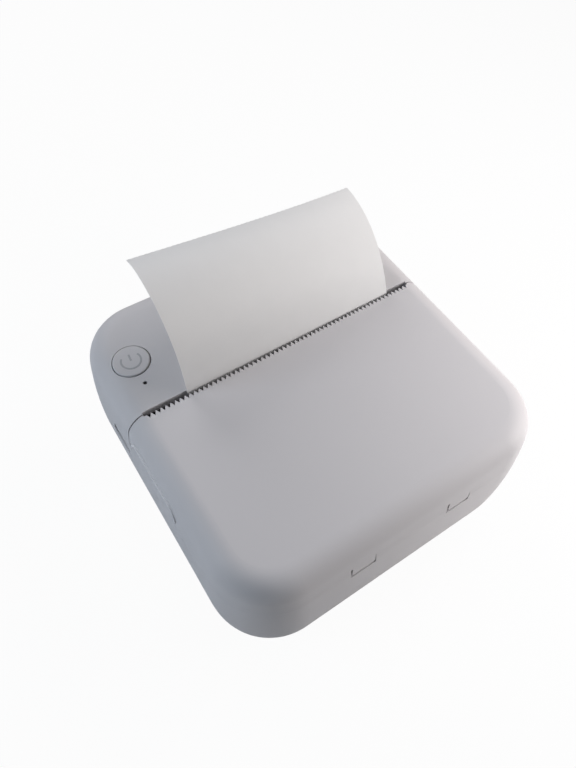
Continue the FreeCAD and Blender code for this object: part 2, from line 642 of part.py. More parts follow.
def usb_port():
    """Charging socket: drawn metal shell with a contact tongue."""
    length = PORT_LENGTH - 2 * PORT_SHELL
    height = PORT_HEIGHT - 2 * PORT_SHELL
    shell = slot_plate(length, height, PORT_X0, PORT_X1, PORT_Y, PORT_Z)
    well = slot_plate(length - 0.6, height - 0.6, PORT_X0 - 1, PORT_X1 - 1.0, PORT_Y, PORT_Z)
    half = (length - height) / 2
    tongue = box(PORT_X0 + 0.8, PORT_X1, PORT_Y - half, PORT_Y + half,
                 PORT_Z - TONGUE_THICK / 2, PORT_Z + TONGUE_THICK / 2)
    return union([shell.cut(well), tongue])


def port_board():
    """Small board that carries the charging socket on the casing's shelf."""
    z1 = PORT_Z - PORT_HEIGHT / 2 + PORT_SHELL
    z0 = PORT_Z - PORT_HEIGHT / 2 - 1.0
    return box(-WIDTH / 2 + 3.2, PORT_X1 - 0.1, PORT_Y - 4.7, PORT_Y + 4.7, z0, z1)


def battery():
    """Flat rechargeable pouch cell on the floor of the lower casing."""
    length, depth, height = BATTERY
    z0 = FOOT_HEIGHT + WALL
    cell = box(4.0 - length / 2, 4.0 + length / 2, 6.0, 6.0 + depth, z0, z0 + height)
    return cell.makeFillet(2.2, [e for e in cell.Edges if abs(e.tangentAt(0).x) > 0.9])


def rubber_feet():
    """Four round feet bonded into the underside."""
    feet = []
    for x, y in foot_places():
        foot = rod_z(FOOT_R, 0, FOOT_HEIGHT + FOOT_SINK, x, y)
        feet.append(foot.makeChamfer(0.35, [e for e in foot.Edges if abs(e.CenterOfMass.z) < 1e-6]))
    return Part.makeCompound(feet)


def case_screws():
    """Screws that clamp the lower casing to the posts of the upper one."""
    screws = []
    seat = FOOT_HEIGHT + HEAD_SINK
    for x, y in screw_places():
        shank = rod_z(SCREW_R, seat, SPLIT_Z + 6, x, y)
        head = rod_z(SCREW_HEAD_R, seat - 1.3, seat, x, y)
        socket = rod_z(0.7, seat - 1.4, seat - 0.5, x, y)
        screws.append(union([shank, head]).cut(socket))
    return Part.makeCompound(screws)


# ================================================================ mechanism frame and head
def mechanism_frame():
    """Bent steel bracket that carries the head, the motor and the gear axles."""
    top = FRAME_TOP_Z
    low = FRAME_FLOOR_Z
    my, mz = MOTOR
    left = [(PLATEN_Y - 6, top), (PLATEN_Y + 6, top), (IDLER_A[0], top - 3), (my + 9, mz + 7.2),
            (my + 9, low), (4.5, low), (PLATEN_Y - 6, IDLER_B[1] - 3)]
    right = [(PLATEN_Y - 6, top), (PLATEN_Y + 6, top), (FRAME_BACK_Y + SHEET, top - 3),
             (FRAME_BACK_Y + SHEET, low), (4.5, low), (PLATEN_Y - 6, IDLER_B[1] - 3)]
    pieces = [plate_x(left, PLATE_L0, PLATE_L1), plate_x(right, PLATE_R0, PLATE_R1),
              box(PLATE_L0, PLATE_R1, 6.0, FRAME_BACK_Y + SHEET, low, low + SHEET),
              box(PLATE_L0, -18.0, FRAME_BACK_Y, my + 9, low, low + SHEET),
              box(PLATE_L1 + MOTOR_LENGTH + GAP, PLATE_R1, FRAME_BACK_Y, FRAME_BACK_Y + SHEET, low, BOARD_Z - 1.4)]
    frame = union(pieces)
    notch = BUSH_R + BUSH_GAP
    cuts = [rod_x(notch, -REACH, REACH, PLATEN_Y, PLATEN_Z),
            box(-REACH, REACH, PLATEN_Y - notch, PLATEN_Y + notch, PLATEN_Z, HEIGHT),
            rod_x(AXLE_R, PLATE_L0 - 1, PLATE_L1 + 1, *IDLER_A),
            rod_x(AXLE_R, PLATE_L0 - 1, PLATE_L1 + 1, *IDLER_B),
            rod_x(MOTOR_SHAFT_R + 0.8, PLATE_L0 - 1, PLATE_L1 + 1, *MOTOR),
            rod_x(1.0, -REACH, REACH, HEAD_PIVOT_Y, HEAD_PIVOT_Z)]
    for x, y in FRAME_POSTS:
        cuts.append(rod_z(SCREW_R + 0.1, low - 1, low + 2, x, y))
    return frame.cut(Part.makeCompound(cuts)).removeSplitter()


def frame_screws():
    """Screws that hold the mechanism frame to the posts of the lower casing."""
    seat = FRAME_FLOOR_Z + SHEET
    return Part.makeCompound([union([rod_z(SCREW_R, seat - 6, seat, x, y), rod_z(1.9, seat, seat + 1.2, x, y)])
                              for x, y in FRAME_POSTS])


HEAD_X0 = PAPER_X0 - 1.4
HEAD_X1 = PAPER_X1 + 1.4
PIVOT_R = 1.0


def head_ceramic():
    """Ceramic print head strip with its raised heater glaze."""
    plate = box(HEAD_X0, HEAD_X1, CERAMIC_Y0, SINK_Y0, HEAD_Z1 - 10.0, HEAD_Z1)
    radius = 1.2
    rise = 0.1
    glaze = rod_x(radius, PAPER_X0, PAPER_X1, CERAMIC_Y0 - rise + radius, PLATEN_Z)
    glaze = glaze.common(box(HEAD_X0, HEAD_X1, CERAMIC_Y0 - 1, SINK_Y0, 0, HEIGHT))
    return union([plate, glaze])


def head_heatsink():
    """Extruded aluminium heat sink with pivot ears and shallow fins."""
    plate = box(HEAD_X0, HEAD_X1, SINK_Y0, SINK_Y1, HEAD_Z0, HEAD_Z1)
    pieces = [plate]
    for x0, x1 in ((HEAD_X0, HEAD_X0 + 4), (HEAD_X1 - 4, HEAD_X1)):
        pieces.append(rod_x(PIVOT_R + 0.9, x0, x1, HEAD_PIVOT_Y, HEAD_PIVOT_Z))
        pieces.append(box(x0, x1, SINK_Y0 + 1, HEAD_PIVOT_Y, HEAD_PIVOT_Z - PIVOT_R, HEAD_PIVOT_Z + PIVOT_R))
    sink = union(pieces)
    cuts = [rod_x(PIVOT_R + FIT, -REACH, REACH, HEAD_PIVOT_Y, HEAD_PIVOT_Z)]
    for index in range(3):
        z = HEAD_Z0 + 4.4 + index * 1.2
        cuts.append(box(HEAD_X0 - 1, HEAD_X1 + 1, SINK_Y1 - 0.7, SINK_Y1 + 1, z, z + 0.6))
    return sink.cut(Part.makeCompound(cuts)).removeSplitter()


def head_pivot_shaft():
    """Steel rod on which the print head swings."""
    return rod_x(PIVOT_R, PLATE_L0 - 0.3, PLATE_R1 + 0.3, HEAD_PIVOT_Y, HEAD_PIVOT_Z)


SPRING_X = (-9.0, 13.0)
SPRING_Z = PLATEN_Z + 0.4
SPRING_R = 1.5
WIRE_R = 0.25
SPRING_TURNS = 3.5
TURN_STEPS = 10         # straight pieces per turn of the coil


def head_springs():
    """Compression springs that press the head towards the platen."""
    seat = SINK_Y1 + WIRE_R + 0.02
    length = FRAME_BACK_Y - SINK_Y1 - 2 * WIRE_R - 0.04
    count = int(SPRING_TURNS * TURN_STEPS)
    springs = []
    for x in SPRING_X:
        rings = []
        for index in range(count + 1):
            angle = 360.0 * index / TURN_STEPS
            ring = []
            for corner in range(5):
                reach, rise = polar(WIRE_R, 72.0 * corner)
                dx, dz = polar(SPRING_R + reach, angle)
                ring.append(V(x + dx, seat + length * index / count + rise, SPRING_Z + dz))
            rings.append(ring)
        springs.append(skin_rings(rings))
    return Part.makeCompound(springs)


def skin_rings(rings):
    """Closed faceted solid through a chain of rings with equally many points."""
    count = len(rings[0])
    faces = [Part.Face(Part.makePolygon(rings[0] + rings[0][:1])),
             Part.Face(Part.makePolygon(rings[-1] + rings[-1][:1]))]
    for near, far in zip(rings, rings[1:]):
        for index in range(count):
            after = (index + 1) % count
            faces.append(Part.Face(Part.makePolygon([near[index], near[after], far[after], near[index]])))
            faces.append(Part.Face(Part.makePolygon([near[index], far[after], far[index], near[index]])))
    shell = Part.makeShell(faces)
    shell.sewShape()
    solid = Part.Solid(shell)
    if solid.Volume < 0:
        solid.reverse()
    return solid


# ================================================================ platen and gears
def platen_shaft():
    """Steel shaft of the platen, from its gear to the far bush."""
    return rod_x(PLATEN_SHAFT_R, LAYER1_X0 - 0.2, CHEEK_R1 + 1.4, PLATEN_Y, PLATEN_Z)


def platen_roller():
    """Rubber sleeve that drives the paper."""
    sleeve = rod_x(PLATEN_R, RUBBER_X0, RUBBER_X1, PLATEN_Y, PLATEN_Z)
    return sleeve.cut(rod_x(PLATEN_SHAFT_R, RUBBER_X0 - 1, RUBBER_X1 + 1, PLATEN_Y, PLATEN_Z))


def platen_bushes():
    """Plain bushes pressed into the lid's cheeks; they drop into the frame's notches."""
    left = rod_x(BUSH_R, PLATE_L0, CHEEK_L1, PLATEN_Y, PLATEN_Z)
    right = rod_x(BUSH_R, CHEEK_R0, PLATE_R1, PLATEN_Y, PLATEN_Z)
    bore = rod_x(PLATEN_SHAFT_R + FIT, -REACH, REACH, PLATEN_Y, PLATEN_Z)
    return Part.makeCompound([left.cut(bore), right.cut(bore)])


def gear(teeth, first_deg, x0, x1, y, z, bore):
    """Spur gear along X; one tooth is centred at first_deg, with backlash left on both flanks."""
    r = pitch_r(teeth)
    root = r - 1.25 * MODULE
    tip = r + 0.88 * MODULE
    step = 360.0 / teeth
    half_pitch = math.degrees(math.pi * MODULE / 4 / r)
    root_half = half_pitch * 1.42
    mid_half = half_pitch * 0.86
    tip_half = half_pitch * 0.36
    points = []
    for index in range(teeth):
        at = first_deg + index * step
        for radius, offset in ((root, -root_half), (r, -mid_half), (tip, -tip_half),
                               (tip, tip_half), (r, mid_half), (root, root_half)):
            dy, dz = polar(radius, at + offset)
            points.append((y + dy, z + dz))
    wheel = plate_x(points, x0, x1)
    return wheel.cut(rod_x(bore, x0 - 1, x1 + 1, y, z))


def mesh_phase(teeth_a, phase_a, direction, teeth_b):
    """Angle of a tooth of gear b that meshes with gear a, whose centre lies opposite to direction."""
    step_a = 360.0 / teeth_a
    step_b = 360.0 / teeth_b
    share = ((direction - phase_a) / step_a) % 1.0
    return direction + 180.0 - (0.5 - share) * step_b


PLATEN_PHASE = 0.0
B_SMALL_PHASE = mesh_phase(PLATEN_TEETH, PLATEN_PHASE, -90.0, SMALL_TEETH)
B_LARGE_PHASE = 0.0
A_SMALL_PHASE = mesh_phase(IDLER_B_TEETH, B_LARGE_PHASE, IDLER_A_DEG, SMALL_TEETH)
A_LARGE_PHASE = 0.0
PINION_PHASE = mesh_phase(IDLER_A_TEETH, A_LARGE_PHASE, MOTOR_DEG, SMALL_TEETH)


def platen_gear():
    """Gear on the end of the platen shaft."""
    return gear(PLATEN_TEETH, PLATEN_PHASE, LAYER1_X0, LAYER1_X1, PLATEN_Y, PLATEN_Z, PLATEN_SHAFT_R)


def compound_gear(small, small_phase, small_layer, large, large_phase, large_layer, centre):
    """Two gears moulded in one piece, joined by a short hub."""
    bore = AXLE_R + FIT
    hub = rod_x(pitch_r(SMALL_TEETH) - 1.25 * MODULE, LAYER2_X0, LAYER1_X1, *centre)
    hub = hub.cut(rod_x(bore, -REACH, REACH, *centre))
    return union([gear(small, small_phase, *small_layer, *centre, bore),
                  gear(large, large_phase, *large_layer, *centre, bore), hub])


LAYER1 = (LAYER1_X0, LAYER1_X1)
LAYER2 = (LAYER2_X0, LAYER2_X1)


def idler_gear_b():
    """Idler between the platen gear and the first reduction."""
    return compound_gear(SMALL_TEETH, B_SMALL_PHASE, LAYER1, IDLER_B_TEETH, B_LARGE_PHASE, LAYER2, IDLER_B)


def idler_gear_a():
    """First reduction, driven by the motor pinion."""
    return compound_gear(SMALL_TEETH, A_SMALL_PHASE, LAYER2, IDLER_A_TEETH, A_LARGE_PHASE, LAYER1, IDLER_A)


CLIP_THICK = 0.4


def gear_axles():
    """Fixed steel axles of the two idlers, riveted into the frame."""
    return Part.makeCompound([rod_x(AXLE_R, LAYER2_X0 - 1.2, PLATE_L1, *centre)
                              for centre in (IDLER_A, IDLER_B)])


def axle_clips():
    """Retaining washers at the ends of the idler axles."""
    x1 = LAYER2_X0 - 0.3
    clips = []
    for centre in (IDLER_A, IDLER_B):
        disc = rod_x(2.0, x1 - CLIP_THICK, x1, *centre)
        clips.append(disc.cut(rod_x(AXLE_R, -REACH, REACH, *centre)))
    return Part.makeCompound(clips)


def motor_pinion():
    """Pinion pressed on the motor shaft."""
    return gear(SMALL_TEETH, PINION_PHASE, LAYER1_X0, LAYER1_X1, *MOTOR, MOTOR_SHAFT_R)


def motor_shaft():
    """Motor shaft that passes through the frame's left plate."""
    return rod_x(MOTOR_SHAFT_R, LAYER1_X0 - 0.2, PLATE_L1 + MOTOR_LENGTH - 2, *MOTOR)


def stepper_motor():
    """Can-stack stepping motor with two fixing ears and a connector block."""
    x0 = PLATE_L1
    y, z = MOTOR
    can = rod_x(MOTOR_R, x0, x0 + MOTOR_LENGTH, y, z)
    flange = union([rod_x(MOTOR_R, x0, x0 + 0.8, y, z),
                    box(x0, x0 + 0.8, y - 1.9, y + 1.9, z - MOTOR_R - 0.6, z + MOTOR_R + 1.4)])
    block = box(x0 + 3, x0 + 10, y - 3, y + 3, z - MOTOR_R - 0.4, z)
    groove = rod_x(MOTOR_R + 1, x0 + MOTOR_LENGTH / 2 - 0.2, x0 + MOTOR_LENGTH / 2 + 0.2, y, z)
    groove = groove.cut(rod_x(MOTOR_R - 0.3, x0, x0 + MOTOR_LENGTH, y, z))
    body = union([can, flange, block]).cut(groove)
    return body.cut(rod_x(MOTOR_SHAFT_R + FIT, x0 - 1, x0 + MOTOR_LENGTH - 1.9, y, z))


# ================================================================ paper and its bin
GUIDE_Z = HEAD_Z0 + 0.4    # level at which the rising paper turns upright
STRIP_GAP = 0.3         # between the roll and the strip that leaves it


def ramp_line(radius):
    """Tangent from the roll circle of this radius up to the guide line below the slot.

    Returns the tangent point, the upper end and the slope in degrees.
    """
    dy = PAPER_Y - ROLL_Y
    dz = GUIDE_Z - ROLL_Z
    distance = math.hypot(dy, dz)
    lean = math.degrees(math.atan2(dz, dy))
    slope = lean + math.degrees(math.asin(radius / distance))
    ty, tz = polar(radius, slope - 90)
    return (ROLL_Y + ty, ROLL_Z + tz), (PAPER_Y, GUIDE_Z), slope


BIN_FRONT_DEG = 172.0   # where the bin's trough ends at the front, as an angle about the roll
BIN_REAR_Y = 3.0        # rear end of the bin's ramp


def paper_bin():
    """Moulded trough and ramp under the roll, closed by two cheeks."""
    inner_r = BIN_R
    outer_r = BIN_R + BIN_WALL
    slope = ramp_line(ROLL_R + STRIP_GAP)[2]
    step_y, step_z = polar(inner_r, slope - 90)
    ty, tz = ROLL_Y + step_y, ROLL_Z + step_z
    rise = math.tan(math.radians(slope))

    def at(radius, degrees):
        dy, dz = polar(radius, degrees)
        return V(0, ROLL_Y + dy, ROLL_Z + dz)

    out_y, out_z = polar(BIN_WALL, slope - 90)
    top = V(0, BIN_REAR_Y, tz + (BIN_REAR_Y - ty) * rise)
    low = top + V(0, out_y, out_z)
    start, stop = BIN_FRONT_DEG, 270 + slope
    middle = (start + stop) / 2
    trough = Part.Wire([Part.Arc(at(inner_r, start), at(inner_r, middle), at(inner_r, stop)).toShape(),
                        Part.LineSegment(at(inner_r, stop), top).toShape(),
                        Part.LineSegment(top, low).toShape(),
                        Part.LineSegment(low, at(outer_r, stop)).toShape(),
                        Part.Arc(at(outer_r, stop), at(outer_r, middle), at(outer_r, start)).toShape(),
                        Part.LineSegment(at(outer_r, start), at(inner_r, start)).toShape()])
    shell = Part.Face(trough).extrude(V(BIN_X1 - BIN_X0 + 2 * BIN_WALL, 0, 0))
    shell.translate(V(BIN_X0 - BIN_WALL, 0, 0))
    cheek = Part.Wire([Part.Arc(at(outer_r, start), at(outer_r, middle), at(outer_r, stop)).toShape(),
                       Part.LineSegment(at(outer_r, stop), low).toShape(),
                       Part.LineSegment(low, top + V(0, -1.0, 3.0)).toShape(),
                       Part.LineSegment(top + V(0, -1.0, 3.0), at(outer_r, 40)).toShape(),
                       Part.LineSegment(at(outer_r, 40), at(outer_r, start)).toShape()])
    cheek = Part.Face(cheek)
    pieces = [shell]
    for x0 in (BIN_X0 - BIN_WALL, BIN_X1):
        wall = cheek.extrude(V(BIN_WALL, 0, 0))
        wall.translate(V(x0, 0, 0))
        pieces.append(wall)
    for x in (BIN_X0 - BIN_WALL, PAPER_X - 5, BIN_X1 - BIN_WALL):
        foot = box(x, x + 2 * BIN_WALL, ROLL_Y - 6, ROLL_Y + 6, FOOT_HEIGHT + WALL, ROLL_Z - inner_r + 0.1)
        pieces.append(foot.cut(rod_x(inner_r, -REACH, REACH, ROLL_Y, ROLL_Z)))
    return union(pieces)


def paper_roll():
    """Wound roll of thermal paper."""
    roll = rod_x(ROLL_R, PAPER_X0, PAPER_X1, ROLL_Y, ROLL_Z)
    return roll.cut(rod_x(CORE_R, PAPER_X0 - 1, PAPER_X1 + 1, ROLL_Y, ROLL_Z))


def roll_core():
    """Cardboard core of the roll."""
    core = rod_x(CORE_R, PAPER_X0, PAPER_X1, ROLL_Y, ROLL_Z)
    return core.cut(rod_x(CORE_R - CORE_WALL, PAPER_X0 - 1, PAPER_X1 + 1, ROLL_Y, ROLL_Z))


STRIP_BEND_R = 6.0      # bend of the strip where the ramp turns upright
CURL_LEFT = [(0.0, 0.0), (0.05, 5.6), (0.7, 11.2), (2.55, 16.4), (6.0, 20.9), (10.9, 23.5), (16.4, 23.1)]
CURL_RIGHT = [(0.0, 0.0), (1.85, 3.9), (4.2, 7.5), (7.05, 10.65), (10.4, 13.3), (14.3, 15.15), (18.4, 16.1)]


def curl_outline(points, x):
    """Closed outline of one edge of the curling paper, from (back, up) points above the slot."""
    half = PAPER_THICK / 2
    path = [V(x, PAPER_Y + dy, HEIGHT + dz) for dy, dz in points]
    normals = []
    for index in range(len(path)):
        before = path[max(index - 1, 0)]
        after = path[min(index + 1, len(path) - 1)]
        along = (after - before).normalize()
        normals.append(V(0, -along.z, along.y) if index else V(0, -1, 0))
    front = [p + n * half for p, n in zip(path, normals)]
    rear = [p - n * half for p, n in zip(path, normals)]
    spline_front = Part.BSplineCurve()
    spline_front.interpolate(front)
    spline_rear = Part.BSplineCurve()
    spline_rear.interpolate(rear[::-1])
    return Part.Wire([spline_front.toShape(), Part.LineSegment(front[-1], rear[-1]).toShape(),
                      spline_rear.toShape(), Part.LineSegment(rear[0], front[0]).toShape()])


def paper_strip():
    """Paper from the roll, up the ramp, between platen and head and out of the slot, curling back."""
    half = PAPER_THICK / 2
    start, corner, slope = ramp_line(ROLL_R + STRIP_GAP)
    lean = math.radians(slope)
    run = STRIP_BEND_R * math.tan((math.pi / 2 - lean) / 2)
    bend = V(0, corner[0] - STRIP_BEND_R, corner[1] + run)
    bend_from = math.degrees(lean) - 90

    def side(offset):
        off_y, off_z = polar(offset, slope - 90)
        first = V(0, start[0] + off_y, start[1] + off_z)
        radius = STRIP_BEND_R + offset
        arc = []
        for turn in (bend_from, bend_from / 2, 0.0):
            dy, dz = polar(radius, turn)
            arc.append(bend + V(0, dy, dz))
        last = V(0, corner[0] + offset, HEIGHT)
        return first, arc, last

    first_a, arc_a, last_a = side(half)
    first_b, arc_b, last_b = side(-half)
    outline = Part.Wire([Part.LineSegment(first_a, arc_a[0]).toShape(), Part.Arc(*arc_a).toShape(),
                         Part.LineSegment(arc_a[2], last_a).toShape(), Part.LineSegment(last_a, last_b).toShape(),
                         Part.LineSegment(last_b, arc_b[2]).toShape(), Part.Arc(*arc_b[::-1]).toShape(),
                         Part.LineSegment(arc_b[0], first_b).toShape(),
                         Part.LineSegment(first_b, first_a).toShape()])
    lower = Part.Face(outline).extrude(V(PAPER_WIDTH, 0, 0))
    lower.translate(V(PAPER_X0, 0, 0))
    curl = Part.makeLoft([curl_outline(CURL_LEFT, PAPER_X0), curl_outline(CURL_RIGHT, PAPER_X1)], True, True)
    return lower.fuse(curl)


PARTS = (
    lower_casing,
    upper_casing,
    paper_lid,
    hinge_pins,
    power_button,
    tact_switch,
    switch_plunger,
    led_light_pipe,
    status_led,
    main_board,
    board_components,
    radio_module,
    board_screws,
    usb_port,
    port_board,
    battery,
    rubber_feet,
    case_screws,
    mechanism_frame,
    frame_screws,
    head_ceramic,
    head_heatsink,
    head_pivot_shaft,
    head_springs,
    platen_shaft,
    platen_roller,
    platen_bushes,
    platen_gear,
    idler_gear_b,
    idler_gear_a,
    gear_axles,
    axle_clips,
    motor_pinion,
    motor_shaft,
    stepper_motor,
    paper_bin,
    paper_roll,
    roll_core,
    paper_strip,
)


def main():
    """Build every node and write it to its own STEP file."""
    os.makedirs("parts", exist_ok=True)
    for builder in PARTS:
        name = builder.__name__
        shape = solid_of(builder())
        if not shape.isValid():
            print("invalid shape:", name)
        shape.exportStep("parts/" + name + ".step")
        print(name, len(shape.Solids), round(shape.Volume, 1), shape.isValid())


main()
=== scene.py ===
import json
import logging
import math
from dataclasses import dataclass
from enum import Enum
from typing import Iterable, Sequence, Union

import bmesh
import bpy
from mathutils import Matrix, Vector
from mathutils.bvhtree import BVHTree

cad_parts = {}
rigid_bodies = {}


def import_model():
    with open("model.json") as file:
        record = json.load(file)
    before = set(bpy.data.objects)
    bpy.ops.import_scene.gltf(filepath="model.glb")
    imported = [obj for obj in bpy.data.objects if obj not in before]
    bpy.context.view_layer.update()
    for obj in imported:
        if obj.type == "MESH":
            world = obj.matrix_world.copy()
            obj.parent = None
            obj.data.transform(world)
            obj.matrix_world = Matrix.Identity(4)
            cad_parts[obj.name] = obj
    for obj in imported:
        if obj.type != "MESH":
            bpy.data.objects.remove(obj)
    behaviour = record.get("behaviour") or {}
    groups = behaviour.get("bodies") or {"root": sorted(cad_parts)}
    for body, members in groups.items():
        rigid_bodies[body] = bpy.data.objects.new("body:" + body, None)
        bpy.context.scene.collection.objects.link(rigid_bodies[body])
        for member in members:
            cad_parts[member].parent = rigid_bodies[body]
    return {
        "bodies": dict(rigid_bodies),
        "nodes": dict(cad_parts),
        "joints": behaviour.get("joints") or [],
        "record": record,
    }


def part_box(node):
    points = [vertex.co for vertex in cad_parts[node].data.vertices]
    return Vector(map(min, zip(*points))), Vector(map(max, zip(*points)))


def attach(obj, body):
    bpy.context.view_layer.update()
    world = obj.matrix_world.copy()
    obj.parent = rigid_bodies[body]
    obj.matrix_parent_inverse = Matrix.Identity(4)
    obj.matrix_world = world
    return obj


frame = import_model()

LOG = logging.getLogger("label_printer")
MM = 0.001

Colour = tuple[float, float, float]
Point = tuple[float, float, float]
Inputs = dict[str, object]
WHITE: Colour = (1.0, 1.0, 1.0)
SHELL: Colour = (0.60, 0.586, 0.596)


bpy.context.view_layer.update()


def rgba(colour: Colour) -> tuple[float, float, float, float]:
    """Colour with an opaque alpha."""
    return (*colour, 1.0)


def shade(colour: Colour, factor: float) -> Colour:
    """Colour made darker or lighter, at most 1."""
    return tuple(min(1.0, c * factor) for c in colour)


# ---------------------------------------------------------------- shader writing
class Value:
    """A number socket that can be used in ordinary arithmetic."""

    def __init__(self, graph: "Graph", socket: bpy.types.NodeSocket) -> None:
        """Wraps a socket.

        Args:
            graph: The node graph that the socket belongs to.
            socket: An output socket that carries a number.
        """
        self.graph = graph
        self.socket = socket

    def _with(self, operation: str, *others: Union["Value", float], swap: bool = False) -> "Value":
        """Adds a Math node.

        Args:
            operation: The Math node's operation.
            others: The other operands.
            swap: True puts this value second.

        Returns:
            The node's result.
        """
        operands = [self, *others]
        if swap:
            operands.reverse()
        node = self.graph.node("ShaderNodeMath", {"operation": operation}, dict(enumerate(operands)))
        return Value(self.graph, node.outputs[0])

    def __add__(self, other: Union["Value", float]) -> "Value":
        """Sum."""
        return self._with("ADD", other)

    def __radd__(self, other: float) -> "Value":
        """Sum with a number on the left."""
        return self._with("ADD", other)

    def __sub__(self, other: Union["Value", float]) -> "Value":
        """Difference."""
        return self._with("SUBTRACT", other)

    def __rsub__(self, other: float) -> "Value":
        """Difference with a number on the left."""
        return self._with("SUBTRACT", other, swap=True)

    def __mul__(self, other: Union["Value", float]) -> "Value":
        """Product."""
        return self._with("MULTIPLY", other)

    def __rmul__(self, other: float) -> "Value":
        """Product with a number on the left."""
        return self._with("MULTIPLY", other)

    def power(self, exponent: float) -> "Value":
        """This value raised to an exponent."""
        return self._with("POWER", exponent)

    def sine(self) -> "Value":
        """Sine of this value in radians."""
        return self._with("SINE")

    def around(self, middle: float, swing: float) -> "Value":
        """Moves this value, which runs from 0 to 1, about a middle."""
        return middle + (self - 0.5) * swing

    def above(self, limit: float) -> "Value":
        """1 where the value is over the limit, else 0."""
        return self._with("GREATER_THAN", limit)

    def span(self, low: float, high: float) -> "Value":
        """Rises smoothly from 0 at low to 1 at high."""
        node = self.graph.node("ShaderNodeMapRange", {"interpolation_type": "SMOOTHSTEP"},
                               {"Value": self, "From Min": low, "From Max": high})
        return Value(self.graph, node.outputs["Result"])


class Tree:
    """A node tree, and the one way in which nodes are added to it."""

    def __init__(self, owner: Union[bpy.types.Material, bpy.types.World], output: str) -> None:
        """Empties the owner's tree and adds its output.

        Args:
            owner: The material or the world.
            output: The output node's type.
        """
        owner.use_nodes = True
        self.tree = owner.node_tree
        self.tree.nodes.clear()
        self.output = self.node(output, {}, {})

    def node(self, kind: str, settings: dict, inputs: dict) -> bpy.types.Node:
        """Adds one node.

        Args:
            kind: The node's type.
            settings: Properties, set before the inputs.
            inputs: Socket name or index to a number, colour, socket or Value.

        Returns:
            The new node.
        """
        node = self.tree.nodes.new(kind)
        for key, value in settings.items():
            setattr(node, key, value)
        for key, value in inputs.items():
            self.feed(node.inputs[key], value)
        return node

    def feed(self, socket: bpy.types.NodeSocket, value: object) -> None:
        """Links or sets one input socket.

        Args:
            socket: The input.
            value: A Value, an output socket, or a constant.
        """
        if isinstance(value, Value):
            value = value.socket
        if isinstance(value, bpy.types.NodeSocket):
            self.tree.links.new(value, socket)
        elif isinstance(value, tuple) and len(value) == 3 and socket.type == "RGBA":
            socket.default_value = rgba(value)
        else:
            socket.default_value = value

    def seen(self, *rays: str) -> Value:
        """Tells rays of the named kinds from all others.

        Args:
            rays: Outputs of the Light Path node.

        Returns:
            1 for a ray of any of those kinds, else 0.
        """
        path = self.node("ShaderNodeLightPath", {}, {})
        total = Value(self, path.outputs[rays[0]])
        for ray in rays[1:]:
            total = total + Value(self, path.outputs[ray])
        return total.above(0.5)

    def close(self, share: Value, usual: bpy.types.Node, special: bpy.types.Node) -> None:
        """Sends a blend of two shaders to the output.

        Args:
            share: How much of the special shader is used.
            usual: The ordinary shader.
            special: The shader that takes its place.
        """
        blend = self.node("ShaderNodeMixShader", {}, {0: share, 1: usual.outputs[0], 2: special.outputs[0]})
        self.feed(self.output.inputs["Surface"], blend.outputs[0])


class Graph(Tree):
    """The node tree of one material."""

    def __init__(self, name: str) -> None:
        """Starts an empty material.

        Args:
            name: The material's name.
        """
        self.material = bpy.data.materials.new(name)
        super().__init__(self.material, "ShaderNodeOutputMaterial")

    def place(self) -> bpy.types.NodeSocket:
        """Object coordinates, in metres."""
        return self.node("ShaderNodeTexCoord", {}, {}).outputs["Object"]

    def stretched(self, scale: Point) -> bpy.types.NodeSocket:
        """Object coordinates scaled per axis."""
        node = self.node("ShaderNodeMapping", {}, {"Vector": self.place(), "Scale": scale})
        return node.outputs["Vector"]

    def axis(self, index: int) -> Value:
        """One object coordinate as a number."""
        node = self.node("ShaderNodeSeparateXYZ", {}, {"Vector": self.place()})
        return Value(self, node.outputs[index])

    def noise(self, scale: float, detail: float = 3.0, where: object = None, rough: float = 0.5) -> Value:
        """Fractal noise between 0 and 1.

        Args:
            scale: Features per metre.
            detail: Octaves.
            where: Coordinates, the object's own when left out.
            rough: Weight of the finer octaves.

        Returns:
            The noise value.
        """
        inputs = {"Vector": where or self.place(), "Scale": scale, "Detail": detail, "Roughness": rough}
        return Value(self, self.node("ShaderNodeTexNoise", {}, inputs).outputs["Fac"])

    def cells(self, scale: float, where: object = None) -> Value:
        """Distance to the nearest random point, for pits and grains."""
        inputs = {"Vector": where or self.place(), "Scale": scale}
        return Value(self, self.node("ShaderNodeTexVoronoi", {}, inputs).outputs["Distance"])

    def mix(self, share: Union[Value, float], low: object, high: object) -> bpy.types.NodeSocket:
        """Blends two colours.

        Args:
            share: 0 gives low, 1 gives high.
            low: Colour or colour socket.
            high: Colour or colour socket.

        Returns:
            The mixed colour.
        """
        node = self.node("ShaderNodeMix", {"data_type": "RGBA"}, {})
        self.feed(node.inputs[0], share)
        self.feed(node.inputs[6], low)
        self.feed(node.inputs[7], high)
        return node.outputs[2]

    def bump(self, height: Value, depth: float, strength: float = 1.0) -> bpy.types.NodeSocket:
        """Normal from a height.

        Args:
            height: Height from 0 to 1.
            depth: Depth of a full step, in metres.
            strength: Share of the effect.

        Returns:
            The normal.
        """
        node = self.node("ShaderNodeBump", {}, {"Height": height, "Distance": depth, "Strength": strength})
        return node.outputs["Normal"]

    def surface(self, inputs: Inputs) -> bpy.types.Material:
        """Closes the material with a Principled shader.

        Args:
            inputs: The shader's inputs, with underscores for spaces.

        Returns:
            The finished material.
        """
        named = {key.replace("_", " "): value for key, value in inputs.items()}
        shader = self.node("ShaderNodeBsdfPrincipled", {}, named)
        self.feed(self.output.inputs["Surface"], shader.outputs[0])
        return self.material


# ---------------------------------------------------------------- finishes
class Finish:
    """A surface finish that is built from its own fields."""

    def inputs(self, graph: Graph) -> Inputs:
        """The Principled shader's inputs, which each finish gives for itself."""
        raise NotImplementedError

    def material(self, name: str) -> bpy.types.Material:
        """Builds the material of this finish."""
        graph = Graph(name)
        return graph.surface(self.inputs(graph))


